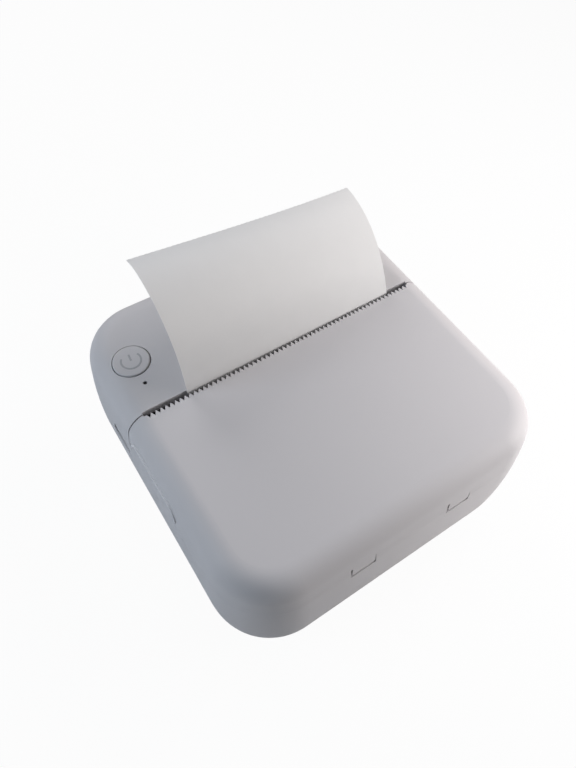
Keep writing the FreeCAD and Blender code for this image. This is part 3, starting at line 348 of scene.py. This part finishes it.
@dataclass(frozen=True)
class MouldedPlastic(Finish):
    """Injection-moulded plastic with a fine spark-eroded texture."""

    colour: Colour
    roughness: float = 0.55
    grain: float = 0.000012
    grain_scale: float = 5200.0
    specular: float = 0.35
    tone: float = 0.02
    drift_scale: float = 28.0
    swing: float = 0.06
    relief: float = 0.6

    def inputs(self, graph: Graph) -> Inputs:
        """A material with faint tone drift, texture grain and rubbed roughness.

        Args:
            graph: The node graph of the material.

        Returns:
            The Principled shader's inputs.
        """
        drift = graph.noise(self.drift_scale, 2.0)
        grain = graph.noise(self.grain_scale, 2.0, rough=0.6)
        speck = graph.cells(self.grain_scale * 0.6)
        dark = shade(self.colour, 1 - self.tone)
        light = shade(self.colour, 1 + self.tone * 0.6)
        height = grain * 0.7 + speck * 0.3
        return dict(Base_Color=graph.mix(drift, dark, light),
                    Roughness=drift.around(self.roughness, self.swing) + (grain - 0.5) * 0.08,
                    Specular_IOR_Level=self.specular, Normal=graph.bump(height, self.grain, self.relief))


class Direction(Enum):
    """Direction of the marks that a tool leaves on metal."""

    ALONG_X = (30.0, 2600.0, 2600.0)
    ALONG_Y = (2600.0, 30.0, 2600.0)
    EVEN = (900.0, 900.0, 900.0)


@dataclass(frozen=True)
class WorkedMetal(Finish):
    """Bare or plated metal with fine tool marks."""

    colour: Colour
    roughness: float = 0.32
    marks: Direction = Direction.EVEN
    depth: float = 0.000006
    clouds: float = 140.0
    shadow: float = 0.86
    swing: float = 0.22
    relief: float = 0.7

    def inputs(self, graph: Graph) -> Inputs:
        """A metal whose roughness and normal follow its tool marks.

        Args:
            graph: The node graph of the material.

        Returns:
            The Principled shader's inputs.
        """
        lines = graph.noise(1.0, 2.0, graph.stretched(self.marks.value))
        cloud = graph.noise(self.clouds, 3.0)
        dark = shade(self.colour, self.shadow)
        return dict(Base_Color=graph.mix(cloud, dark, self.colour), Metallic=1.0,
                    Roughness=lines.around(self.roughness, self.swing) + (cloud - 0.5) * 0.12,
                    Normal=graph.bump(lines, self.depth, self.relief))


@dataclass(frozen=True)
class SpangledSheet(Finish):
    """Galvanised sheet with its crystal pattern."""

    colour: Colour = (0.62, 0.64, 0.66)
    crystals: float = 420.0
    scratches: Point = (2400.0, 60.0, 2400.0)
    shadow: float = 0.78
    depth: float = 0.000005
    relief: float = 0.5

    def inputs(self, graph: Graph) -> Inputs:
        """A metal with crystal-sized patches of tone and roughness.

        Args:
            graph: The node graph of the material.

        Returns:
            The Principled shader's inputs.
        """
        spangle = graph.cells(self.crystals)
        scratch = graph.noise(1.0, 2.0, graph.stretched(self.scratches))
        dark = shade(self.colour, self.shadow)
        return dict(Base_Color=graph.mix(spangle.span(0.1, 0.7), dark, self.colour), Metallic=1.0,
                    Roughness=0.3 + spangle * 0.25 + (scratch - 0.5) * 0.1,
                    Normal=graph.bump(scratch, self.depth, self.relief))


@dataclass(frozen=True)
class ThermalPaper(Finish):
    """Smooth coated paper with a faint fibre cloud."""

    colour: Colour = (0.79, 0.79, 0.785)
    clouds: float = 260.0
    fibres: Point = (1500.0, 5200.0, 5200.0)
    shadow: float = 0.965
    roughness: float = 0.62
    swing: float = 0.1
    specular: float = 0.3
    depth: float = 0.00002
    relief: float = 0.35

    def inputs(self, graph: Graph) -> Inputs:
        """A near-matte white with cloudy formation and fibres.

        Args:
            graph: The node graph of the material.

        Returns:
            The Principled shader's inputs.
        """
        cloud = graph.noise(self.clouds, 4.0)
        fibre = graph.noise(1.0, 3.0, graph.stretched(self.fibres))
        dark = shade(self.colour, self.shadow)
        return dict(Base_Color=graph.mix(cloud, dark, self.colour),
                    Roughness=fibre.around(self.roughness, self.swing), Specular_IOR_Level=self.specular,
                    Normal=graph.bump(fibre * 0.6 + cloud * 0.4, self.depth, self.relief))


@dataclass(frozen=True)
class WoundPaper(Finish):
    """Ends of a wound roll, where the layers show as fine rings."""

    centre: Point
    colour: Colour = (0.9, 0.9, 0.88)
    layer: float = 0.00016
    layers_in_ring: float = 4.0
    clouds: float = 300.0
    shadow: float = 0.88
    roughness: float = 0.75
    swing: float = 0.1
    specular: float = 0.25
    depth: float = 0.00003
    relief: float = 0.5

    def inputs(self, graph: Graph) -> Inputs:
        """A paper white with rings about the roll's axis.

        Args:
            graph: The node graph of the material.

        Returns:
            The Principled shader's inputs.
        """
        y = graph.axis(1) - self.centre[1]
        z = graph.axis(2) - self.centre[2]
        radius = (y * y + z * z).power(0.5)
        wave = (radius * (2 * math.pi / (self.layer * self.layers_in_ring))).sine()
        ring = wave * 0.5 + 0.5
        cloud = graph.noise(self.clouds, 3.0)
        dark = shade(self.colour, self.shadow)
        return dict(Base_Color=graph.mix(ring * 0.6 + cloud * 0.3, dark, self.colour),
                    Roughness=cloud.around(self.roughness, self.swing), Specular_IOR_Level=self.specular,
                    Normal=graph.bump(ring, self.depth, self.relief))


@dataclass(frozen=True)
class WoundCard(Finish):
    """Spiral-wound grey-brown card."""

    colour: Colour = (0.48, 0.37, 0.25)
    fibres: Point = (400.0, 2400.0, 2400.0)
    flecks: float = 900.0
    shadow: float = 0.7
    roughness: float = 0.85
    swing: float = 0.1
    specular: float = 0.2
    depth: float = 0.00006
    relief: float = 0.6

    def inputs(self, graph: Graph) -> Inputs:
        """A card brown with flecks and fibres.

        Args:
            graph: The node graph of the material.

        Returns:
            The Principled shader's inputs.
        """
        fibre = graph.noise(1.0, 4.0, graph.stretched(self.fibres))
        fleck = graph.cells(self.flecks).span(0.05, 0.3)
        dark = shade(self.colour, self.shadow)
        return dict(Base_Color=graph.mix(fibre * 0.7 + fleck * 0.3, dark, self.colour),
                    Roughness=fibre.around(self.roughness, self.swing), Specular_IOR_Level=self.specular,
                    Normal=graph.bump(fibre, self.depth, self.relief))


@dataclass(frozen=True)
class SoftRubber(Finish):
    """Matte rubber, ground or moulded."""

    colour: Colour
    roughness: float = 0.75
    marks: Direction = Direction.EVEN
    dust_scale: float = 180.0
    dust_tone: float = 0.06
    swing: float = 0.15
    specular: float = 0.3
    depth: float = 0.00002
    relief: float = 0.6

    def inputs(self, graph: Graph) -> Inputs:
        """A dull rubber with dust in its texture.

        Args:
            graph: The node graph of the material.

        Returns:
            The Principled shader's inputs.
        """
        grain = graph.noise(1.0, 3.0, graph.stretched(self.marks.value))
        dust = graph.noise(self.dust_scale, 4.0).span(0.45, 0.8)
        pale = tuple(c + self.dust_tone for c in self.colour)
        return dict(Base_Color=graph.mix(dust, self.colour, pale),
                    Roughness=grain.around(self.roughness, self.swing), Specular_IOR_Level=self.specular,
                    Normal=graph.bump(grain, self.depth, self.relief))


@dataclass(frozen=True)
class SolderMask(Finish):
    """Circuit board: green mask over copper tracks, with tinned pads."""

    colour: Colour = (0.012, 0.11, 0.05)
    track: Colour = (0.03, 0.2, 0.08)
    pad: Colour = (0.7, 0.7, 0.66)
    track_scale: float = 260.0
    track_width: float = 0.06
    pad_scale: float = 620.0
    pad_size: float = 0.16
    patch_scale: float = 90.0
    depth: float = 0.00004
    relief: float = 0.5

    def inputs(self, graph: Graph) -> Inputs:
        """A glossy mask with raised tracks and metal pads.

        Args:
            graph: The node graph of the material.

        Returns:
            The Principled shader's inputs.
        """
        step = graph.node("ShaderNodeTexBrick", {"offset": 0.37, "squash": 0.6},
                          {"Vector": graph.place(), "Scale": self.track_scale,
                           "Mortar Size": self.track_width,
                           "Color1": (0, 0, 0), "Color2": (0, 0, 0), "Mortar": (1, 1, 1)})
        grid = Value(graph, step.outputs["Fac"])
        patch = graph.noise(self.patch_scale, 1.0).above(0.5)
        track = grid * patch
        pads = 1 - graph.cells(self.pad_scale).above(self.pad_size)
        base = graph.mix(track, self.colour, self.track)
        return dict(Base_Color=graph.mix(pads, base, self.pad), Metallic=pads,
                    Roughness=0.28 + pads * 0.1,
                    Normal=graph.bump(track + pads * 0.5, self.depth, self.relief))


@dataclass(frozen=True)
class ClearPlastic(Finish):
    """Clear moulded plastic, faintly milky."""

    colour: Colour = (0.86, 0.88, 0.88)
    haze_scale: float = 900.0
    shadow: float = 0.9

    def inputs(self, graph: Graph) -> Inputs:
        """A mostly clear plastic.

        Args:
            graph: The node graph of the material.

        Returns:
            The Principled shader's inputs.
        """
        haze = graph.noise(self.haze_scale, 2.0)
        return dict(Base_Color=graph.mix(haze, shade(self.colour, self.shadow), self.colour),
                    Roughness=0.12 + haze * 0.1, Transmission_Weight=0.6, IOR=1.49)


@dataclass(frozen=True)
class GlazedCeramic(Finish):
    """Alumina strip with a dark heater line across its glaze."""

    line_z: float
    half_width: float = 0.00035
    colour: Colour = (0.82, 0.81, 0.77)
    line: Colour = (0.16, 0.11, 0.09)
    lead: Colour = (0.55, 0.42, 0.2)
    lead_pitch: float = 0.0005
    lead_reach_squared: tuple[float, float] = (0.0000045, 0.000005)
    line_edge: tuple[float, float] = (0.6, 1.4)
    depth: float = 0.00003
    relief: float = 0.4

    def inputs(self, graph: Graph) -> Inputs:
        """A glossy off-white with the heater line and its fine leads.

        Args:
            graph: The node graph of the material.

        Returns:
            The Principled shader's inputs.
        """
        height = graph.axis(2) - self.line_z
        near = 1 - (height * height).span(*(self.half_width ** 2 * part for part in self.line_edge))
        leads = (graph.axis(0) * (2 * math.pi / self.lead_pitch)).sine().above(0.0)
        zone = 1 - (height * height).span(*self.lead_reach_squared)
        wired = graph.mix(leads * zone * 0.5, self.colour, self.lead)
        cloud = graph.noise(400.0, 2.0)
        return dict(Base_Color=graph.mix(near, wired, self.line),
                    Roughness=0.2 + cloud * 0.12, Normal=graph.bump(near, self.depth, self.relief))


@dataclass(frozen=True)
class CellFoil(Finish):
    """Aluminium laminate of a pouch cell, slightly wrinkled."""

    colour: Colour = (0.66, 0.67, 0.69)
    wrinkles: float = 160.0
    shadow: float = 0.85
    roughness: float = 0.38
    swing: float = 0.2
    depth: float = 0.00015
    relief: float = 0.6

    def inputs(self, graph: Graph) -> Inputs:
        """A satin foil with soft wrinkles.

        Args:
            graph: The node graph of the material.

        Returns:
            The Principled shader's inputs.
        """
        wrinkle = graph.noise(self.wrinkles, 4.0, rough=0.7)
        return dict(Base_Color=graph.mix(wrinkle, shade(self.colour, self.shadow), self.colour),
                    Metallic=0.85, Roughness=wrinkle.around(self.roughness, self.swing),
                    Normal=graph.bump(wrinkle, self.depth, self.relief))


@dataclass(frozen=True)
class PrintedGrey(Finish):
    """Matte grey ink of a printed sign."""

    colour: Colour = (0.44, 0.44, 0.455)
    grains: float = 4200.0
    shadow: float = 0.85
    roughness: float = 0.6
    swing: float = 0.1
    depth: float = 0.00001
    relief: float = 0.5

    def inputs(self, graph: Graph) -> Inputs:
        """A matte grey with fine grain.

        Args:
            graph: The node graph of the material.

        Returns:
            The Principled shader's inputs.
        """
        grain = graph.noise(self.grains, 2.0)
        return dict(Base_Color=graph.mix(grain, shade(self.colour, self.shadow), self.colour),
                    Roughness=grain.around(self.roughness, self.swing),
                    Normal=graph.bump(grain, self.depth, self.relief))


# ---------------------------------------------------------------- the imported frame
@dataclass(frozen=True)
class Dressing:
    """A finish, its material's name and the CAD nodes that take it."""

    finish: Finish
    name: str
    nodes: tuple[str, ...]


class Frame:
    """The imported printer: its CAD nodes and where they are."""

    def __init__(self, loaded: dict) -> None:
        """Keeps the loaded nodes.
        """
        self.nodes = loaded["nodes"]

    @staticmethod
    def low(node: str) -> Vector:
        """Lowest corner of a node."""
        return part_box(node)[0]

    @staticmethod
    def middle(node: str) -> Vector:
        """Centre of a node."""
        low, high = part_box(node)
        return (low + high) / 2

    def dress(self, material: bpy.types.Material, *names: str) -> None:
        """Gives CAD nodes a finish.

        Args:
            material: The finish.
            names: The nodes that take it.
        """
        for name in names:
            node = self.nodes[name]
            if not node.material_slots:
                node.data.materials.append(material)
            for place in node.material_slots:
                place.material = material
            LOG.info("node %s takes %s", name, material.name)

    def dress_all(self, *rows: Dressing) -> None:
        """Gives every row's nodes the row's finish."""
        for row in rows:
            self.dress(row.finish.material(row.name), *row.nodes)


class Body(Enum):
    """Rigid bodies of the frame that pieces ride on."""

    CASING = "casing"
    LID = "lid"
    BUTTON = "button"


def settle(piece: bpy.types.Object, body: Body, material: bpy.types.Material) -> None:
    """Finishes a new piece and fixes it to its body.

    Args:
        piece: The piece, already in place.
        body: The body that it moves with.
        material: The finish.
    """
    piece.data.materials.append(material)
    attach(piece, body.value)
    LOG.info("piece %s rides on %s", piece.name, body.value)


def mesh_piece(name: str, points: Sequence[Sequence[float]], faces: Iterable[Sequence[int]],
               smooth: bool = True) -> bpy.types.Object:
    """Makes a mesh piece with outward faces.

    Args:
        name: The piece's name.
        points: Vertices in metres.
        faces: Faces by vertex index.
        smooth: True for smooth shading.

    Returns:
        The new object.
    """
    mesh = bpy.data.meshes.new(name)
    mesh.from_pydata([tuple(p) for p in points], [], [tuple(f) for f in faces])
    worker = bmesh.new()
    worker.from_mesh(mesh)
    bmesh.ops.recalc_face_normals(worker, faces=worker.faces)
    worker.to_mesh(mesh)
    worker.free()
    mesh.polygons.foreach_set("use_smooth", [smooth] * len(mesh.polygons))
    piece = bpy.data.objects.new(name, mesh)
    bpy.context.scene.collection.objects.link(piece)
    return piece


def swept(path: Sequence[Vector], section: Sequence[tuple[float, float]], up: Vector) -> tuple[list, list]:
    """Closed section carried along a path.

    Args:
        path: Centre line in metres.
        section: Ring of (across, up) offsets.
        up: Direction that the section's second offset follows.

    Returns:
        Vertices and faces of the closed form.
    """
    points, faces = [], []
    for index, here in enumerate(path):
        along = (path[min(index + 1, len(path) - 1)] - path[max(index - 1, 0)]).normalized()
        side = up.cross(along).normalized()
        rise = along.cross(side)
        points += [here + side * across + rise * height for across, height in section]
    size = len(section)
    for row in range(len(path) - 1):
        for k in range(size):
            a, b = row * size + k, row * size + (k + 1) % size
            faces.append((a, b, b + size, a + size))
    faces.append(tuple(range(size)))
    faces.append(tuple(range(len(points) - size, len(points))))
    return points, faces


def joined(parts: Iterable[tuple[list, list]]) -> tuple[list, list]:
    """Makes several forms one.

    Args:
        parts: Vertices and faces of each form.

    Returns:
        Vertices and faces of them all.
    """
    points, faces = [], []
    for more, extra in parts:
        faces += [tuple(i + len(points) for i in face) for face in extra]
        points += more
    return points, faces


# ---------------------------------------------------------------- casing and lid
@dataclass
class Casing:
    """Moulded shells, feet and their screws."""

    frame: Frame
    shell: Colour = SHELL
    foot: Colour = (0.16, 0.16, 0.165)
    screw: Colour = (0.5, 0.5, 0.52)
    pin: Colour = (0.62, 0.62, 0.63)

    def dress(self) -> None:
        """Finishes the shells, the hinge pins, the feet and the screws."""
        self.frame.dress_all(
            Dressing(MouldedPlastic(self.shell), "shell_white",
                     ("upper_casing", "lower_casing", "paper_lid")),
            Dressing(SoftRubber(self.foot), "grey_rubber", ("rubber_feet",)),
            Dressing(WorkedMetal(self.screw, 0.3), "screw_steel",
                     ("case_screws", "frame_screws", "board_screws")),
            Dressing(WorkedMetal(self.pin), "pin_steel", ("hinge_pins",)),
        )


@dataclass
class FingerRim:
    """Moulded ledge along the lid's edge over the finger notch, in a tint lighter than the shell that is a
    painted highlight along its lit edge.
    """

    frame: Frame
    # lighter than the shell plastic: painted highlight standing for the ledge's lit edge
    highlight_tint: Colour = (0.74, 0.735, 0.745)
    height: float = 0.46 * MM
    reach: float = 0.32 * MM
    soften: float = 0.08 * MM
    seam_z: float = 32.75 * MM
    top_z: float = 35.2 * MM
    front: float = -13.0 * MM
    rear: float = 7.0 * MM
    ramp: float = 2.86 * MM
    bend: float = 0.14
    crown: float = 0.1
    steps: int = 10
    run_steps: int = 24
    clear_x: float = -60.0 * MM
    skin_depth: float = 4.0 * MM

    def _ramp(self, outer: float, inner: float) -> list[tuple[float, float]]:
        """Rounded climb from the seam at one end of the notch to its top.

        Args:
            outer: The end's Y.
            inner: The Y where the top is reached.

        Returns:
            Points as (y, z).
        """
        bend = (outer * (1 - self.bend) + inner * self.bend,
                self.top_z - self.crown * (self.top_z - self.seam_z))
        points = []
        for k in range(self.steps + 1):
            t = k / self.steps
            weights = ((1 - t) ** 2, 2 * t * (1 - t), t ** 2)
            points.append((weights[0] * outer + weights[1] * bend[0] + weights[2] * inner,
                           weights[0] * self.seam_z + weights[1] * bend[1] + weights[2] * self.top_z))
        return points

    def build(self) -> None:
        """Lays the ledge on the lid's outer face."""
        lid = self.frame.nodes["paper_lid"].data
        skin = BVHTree.FromPolygons([v.co for v in lid.vertices], [tuple(p.vertices) for p in lid.polygons])
        climb = self._ramp(self.front, self.front + self.ramp)
        fall = self._ramp(self.rear, self.rear - self.ramp)
        level = self.rear - self.front - 2 * self.ramp
        run = [(self.front + self.ramp + level * k / self.run_steps, self.top_z)
               for k in range(1, self.run_steps)]
        path = []
        for y, z in climb + run + fall[::-1]:
            hit = skin.ray_cast(Vector((self.clear_x, y, z)), Vector((1, 0, 0)))[0]
            if hit is not None and hit.x < self.frame.low("paper_lid").x + self.skin_depth:
                path.append(Vector((hit.x, y, z)))
        LOG.info("finger rim follows %d points", len(path))
        half, proud, round_off = self.height / 2, self.reach, self.soften
        section = [(-half, -proud), (-half, proud - round_off), (round_off - half, proud),
                   (half - round_off, proud), (half, proud - round_off), (half, -proud)]
        rim = mesh_piece("finger_rim", *swept(path, section, Vector((-1, 0, 0))), smooth=False)
        # the lighter tint paints the highlight that light puts on the ledge
        settle(rim, Body.LID, MouldedPlastic(colour=self.highlight_tint).material("rim_painted_highlight"))


# ---------------------------------------------------------------- button and light
@dataclass
class PowerControl:
    """Power button with its sign, switch and status light."""

    frame: Frame
    cap: Colour = SHELL
    switch: Colour = (0.03, 0.03, 0.032)
    pipe: Colour = (0.012, 0.012, 0.013)
    bar_start: float = -0.05 * MM
    bar_length: float = 1.75 * MM
    arc_radius: float = 2.15 * MM
    line_width: float = 0.42 * MM
    bar_deg: float = 84.0
    open_deg: float = 56.0
    rise: float = 0.03 * MM
    sink: float = 0.12 * MM
    edge: float = 0.04 * MM
    arc_steps: int = 56
    bar_steps: int = 6

    def _stroke(self, path: Sequence[Vector]) -> tuple[list, list]:
        """Low ridge with softened shoulders.

        Args:
            path: Points on the cap's face.

        Returns:
            Vertices and faces of the ridge.
        """
        half = self.line_width / 2
        section = [(-half, -self.sink), (-half, 0.0), (-half + self.edge, self.rise),
                   (half - self.edge, self.rise), (half, 0.0), (half, -self.sink)]
        return swept(path, section, Vector((0, 0, 1)))

    def build(self) -> None:
        """Adds the power sign on the cap."""
        low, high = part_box("power_button")
        centre = Vector((high.x - (high.y - low.y) / 2, (low.y + high.y) / 2, high.z))
        bar = math.radians(self.bar_deg)
        half_gap = math.radians(self.open_deg)
        start, sweep = bar + half_gap, 2 * math.pi - 2 * half_gap
        turns = [start + sweep * k / self.arc_steps for k in range(self.arc_steps + 1)]
        arc = [centre + self.arc_radius * Vector((math.cos(a), math.sin(a), 0)) for a in turns]
        way = Vector((math.cos(bar), math.sin(bar), 0))
        line = [centre + way * (self.bar_start + self.bar_length * k / self.bar_steps)
                for k in range(self.bar_steps + 1)]
        points, faces = joined([self._stroke(arc), self._stroke(line)])
        sign = mesh_piece("power_sign", points, faces, smooth=False)
        settle(sign, Body.BUTTON, PrintedGrey().material("sign_grey"))

    def dress(self) -> None:
        """Finishes the cap, the switch and the light."""
        self.frame.dress_all(
            Dressing(MouldedPlastic(self.cap, 0.45), "button_white", ("power_button",)),
            Dressing(MouldedPlastic(self.switch, 0.4), "black_plastic", ("tact_switch", "switch_plunger")),
            Dressing(ClearPlastic(), "clear_plastic", ("status_led",)),
            Dressing(MouldedPlastic(self.pipe, 0.3), "smoked_plastic", ("led_light_pipe",)),
        )


# ---------------------------------------------------------------- electronics
@dataclass
class Electronics:
    """Boards, radio, charging port and battery."""

    frame: Frame
    chip: Colour = (0.02, 0.02, 0.022)
    can: Colour = (0.66, 0.66, 0.66)
    port: Colour = (0.6, 0.6, 0.61)

    def dress(self) -> None:
        """Finishes the boards and what they carry."""
        self.frame.dress_all(
            Dressing(SolderMask(), "circuit_board", ("main_board", "port_board")),
            Dressing(MouldedPlastic(self.chip, 0.5), "chip_black", ("board_components",)),
            Dressing(WorkedMetal(self.can, 0.28, Direction.ALONG_X), "tin_can", ("radio_module",)),
            Dressing(WorkedMetal(self.port, 0.25, Direction.ALONG_Y), "port_steel", ("usb_port",)),
            Dressing(CellFoil(), "cell_foil", ("battery",)),
        )


# ---------------------------------------------------------------- mechanism
@dataclass
class Mechanism:
    """Frame, print head, platen, gear train and motor."""

    frame: Frame
    heater_rise: float = 7.8 * MM
    shaft: Colour = (0.6, 0.6, 0.61)
    spring: Colour = (0.42, 0.42, 0.45)
    motor: Colour = (0.56, 0.57, 0.58)
    brass: Colour = (0.72, 0.52, 0.22)
    gear: Colour = (0.78, 0.77, 0.72)
    bush: Colour = (0.06, 0.06, 0.065)
    platen: Colour = (0.035, 0.035, 0.037)
    sink: Colour = (0.68, 0.69, 0.7)

    def dress(self) -> None:
        """Finishes every piece of the mechanism."""
        heater = self.frame.low("head_ceramic").z + self.heater_rise
        along = Direction.ALONG_X
        self.frame.dress_all(
            Dressing(SpangledSheet(), "zinc_sheet", ("mechanism_frame",)),
            Dressing(WorkedMetal(self.shaft, 0.22, along), "ground_steel",
                     ("platen_shaft", "head_pivot_shaft", "motor_shaft", "gear_axles")),
            Dressing(WorkedMetal(self.spring, 0.3), "spring_steel", ("head_springs", "axle_clips")),
            Dressing(WorkedMetal(self.motor, 0.35), "motor_can", ("stepper_motor",)),
            Dressing(WorkedMetal(self.brass, 0.3), "turned_brass", ("motor_pinion",)),
            Dressing(MouldedPlastic(self.gear, 0.42), "gear_plastic",
                     ("platen_gear", "idler_gear_a", "idler_gear_b")),
            Dressing(MouldedPlastic(self.bush, 0.4), "bush_black", ("platen_bushes",)),
            Dressing(SoftRubber(self.platen, 0.6, along), "platen_rubber", ("platen_roller",)),
            Dressing(GlazedCeramic(heater), "ceramic", ("head_ceramic",)),
            Dressing(WorkedMetal(self.sink, 0.38, along), "aluminium", ("head_heatsink",)),
        )


# ---------------------------------------------------------------- paper
@dataclass
class TornEdge:
    """Finely toothed edge left at the strip's free end by the tear bar."""

    frame: Frame
    paper: bpy.types.Material
    pitch: float = 1.107 * MM
    length: float = 0.9 * MM
    sag: float = 0.65 * MM
    tooth: float = 0.14 * MM
    sink: float = 0.05 * MM
    look_back: float = 5.4 * MM
    thinning: float = 0.35

    def _corner(self, x: float) -> tuple[Vector, Vector, Vector]:
        """End of one side of the strip.

        Args:
            x: Which side, as its X coordinate.

        Returns:
            The lower and the upper end point, and the direction in which the paper leaves.
        """
        side = [v.co for v in self.frame.nodes["paper_strip"].data.vertices if abs(v.co.x - x) < self.sink]
        end = max(point.y for point in side)
        last = sorted((p for p in side if p.y > end - self.tooth), key=lambda p: p.z)
        near = max((p for p in side if end - self.look_back < p.y < end - self.length
                    and p.z > last[0].z / 2), key=lambda p: p.y)
        middle = (last[0] + last[-1]) / 2
        way = middle - near
        return last[0], last[-1], Vector((0, way.y, way.z)).normalized()

    def build(self) -> None:
        """Adds the edge across the whole width."""
        low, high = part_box("paper_strip")
        left, right = self._corner(low.x), self._corner(high.x)
        steps = 2 * round((high.x - low.x) / self.pitch)
        points, faces = [], []
        for k in range(steps + 1):
            u = k / steps
            under, over, way = (a.lerp(b, u) for a, b in zip(left, right))
            hollow = self.sag * 4 * u * (1 - u)     # deepest at mid-width
            reach = self.length - hollow + (self.tooth if k % 2 else 0.0)
            middle = (under + over) / 2 + way * reach
            lip = (over - under) * self.thinning / 2
            points += [under - way * self.sink, over - way * self.sink, middle + lip, middle - lip]
        for k in range(steps):
            a, b = 4 * k, 4 * k + 4
            faces += [(a + n, a + (n + 1) % 4, b + (n + 1) % 4, b + n) for n in range(4)]
        faces += [(0, 1, 2, 3), tuple(range(4 * steps, 4 * steps + 4))]
        edge = mesh_piece("torn_edge", points, faces, smooth=False)
        settle(edge, Body.CASING, self.paper)


@dataclass
class PaperPath:
    """Paper roll in its bin and the strip that leaves the slot."""

    frame: Frame
    bin: Colour = (0.32, 0.32, 0.325)

    def dress(self) -> None:
        """Finishes the roll, its core, the bin and the strip with its torn edge."""
        centre = tuple(self.frame.middle("roll_core"))
        paper = ThermalPaper().material("thermal_paper")
        self.frame.dress_all(
            Dressing(WoundPaper(centre), "wound_paper", ("paper_roll",)),
            Dressing(WoundCard(), "core_card", ("roll_core",)),
            Dressing(MouldedPlastic(self.bin, 0.5), "bin_plastic", ("paper_bin",)),
        )
        self.frame.dress(paper, "paper_strip")
        TornEdge(self.frame, paper).build()


# ---------------------------------------------------------------- studio
@dataclass(frozen=True)
class Lamp:
    """Soft square lamp."""

    name: str
    place: Point
    side: float
    power: float
    colour: Colour


@dataclass
class Studio:
    """Camera, lamps, world and floor."""

    camera_place: Point = (-0.0421, -0.0548, 0.1387)
    right: Point = (0.8333, -0.5515, 0.0391)
    up: Point = (0.4667, 0.7396, 0.4849)
    back: Point = (-0.2964, -0.3858, 0.8737)
    lens: float = 25.75
    clip: tuple[float, float] = (0.005, 20.0)
    shift: tuple[float, float] = (-0.0178, 0.0541)
    sky: Colour = (0.97, 0.98, 1.0)
    sky_strength: float = 0.09
    aim: Point = (0.0, 0.0, 0.035)
    floor_reach: float = 3.0
    floor_colour: Colour = (0.8, 0.8, 0.8)
    floor_glow: float = 0.95
    lamps: tuple[Lamp, ...] = (
        Lamp("right_lamp", (0.19, 0.01, 0.18), 0.13, 0.30, (1.0, 0.955, 0.945)),
        Lamp("low_lamp", (0.124, -0.106, 0.076), 0.07, 0.165, (1.0, 0.965, 0.955)),
        Lamp("rear_lamp", (0.0, 0.32, 0.26), 0.20, 0.37, (1.0, 0.98, 0.985)),
        Lamp("left_lamp", (-0.26, 0.06, 0.20), 0.17, 0.40, (0.76, 0.87, 1.0)),
    )

    def _camera(self) -> None:
        """Places the camera."""
        data = bpy.data.cameras.new("camera")
        data.lens = self.lens
        data.shift_x, data.shift_y = self.shift
        data.clip_start, data.clip_end = self.clip
        camera = bpy.data.objects.new("camera", data)
        turn = Matrix((self.right, self.up, self.back)).transposed().to_quaternion()
        camera.matrix_world = Matrix.Translation(self.camera_place) @ turn.to_matrix().to_4x4()
        bpy.context.scene.collection.objects.link(camera)
        bpy.context.scene.camera = camera

    def _lamps(self) -> None:
        """Adds the soft lamps, aimed at the printer."""
        for lamp in self.lamps:
            data = bpy.data.lights.new(lamp.name, "AREA")
            data.shape, data.size = "SQUARE", lamp.side
            data.energy, data.color = lamp.power, lamp.colour
            light = bpy.data.objects.new(lamp.name, data)
            light.location = lamp.place
            aim = Vector(self.aim) - Vector(lamp.place)
            light.rotation_mode = "QUATERNION"
            light.rotation_quaternion = aim.to_track_quat("-Z", "Y")
            light.visible_camera = False
            bpy.context.scene.collection.objects.link(light)

    def _world(self) -> None:
        """White to the camera and through clear pieces, a soft even sky elsewhere."""
        world = bpy.data.worlds.new("studio")
        bpy.context.scene.world = world
        tree = Tree(world, "ShaderNodeOutputWorld")
        sky = tree.node("ShaderNodeBackground", {}, {"Color": self.sky, "Strength": self.sky_strength})
        white = tree.node("ShaderNodeBackground", {}, {"Color": WHITE, "Strength": 1.0})
        tree.close(tree.seen("Is Camera Ray", "Is Transmission Ray"), sky, white)

    def _floor(self) -> None:
        """Pale floor that keeps the printer's shadow."""
        side = self.floor_reach
        floor = mesh_piece("floor", [(-side, -side, 0), (side, -side, 0), (side, side, 0), (-side, side, 0)],
                           [(0, 1, 2, 3)], smooth=False)
        graph = Graph("floor_white")
        matte = graph.node("ShaderNodeBsdfDiffuse", {}, {"Color": self.floor_colour})
        glow = graph.node("ShaderNodeEmission", {}, {"Color": WHITE, "Strength": 1.0})
        graph.close(graph.seen("Is Camera Ray") * self.floor_glow, matte, glow)
        floor.data.materials.append(graph.material)

    def build(self) -> None:
        """Builds the whole studio."""
        self._camera()
        self._lamps()
        self._world()
        self._floor()
        bpy.context.scene.view_settings.view_transform = "Standard"
        LOG.info("studio built")


def main() -> None:
    """Builds the printer's dress and the studio around it."""
    logging.basicConfig(level=logging.INFO, format="%(name)s: %(message)s")
    printer = Frame(frame)
    Casing(printer).dress()
    FingerRim(printer).build()
    control = PowerControl(printer)
    control.build()
    control.dress()
    Electronics(printer).dress()
    Mechanism(printer).dress()
    PaperPath(printer).dress()
    Studio().build()


if __name__ == "__main__":
    main()
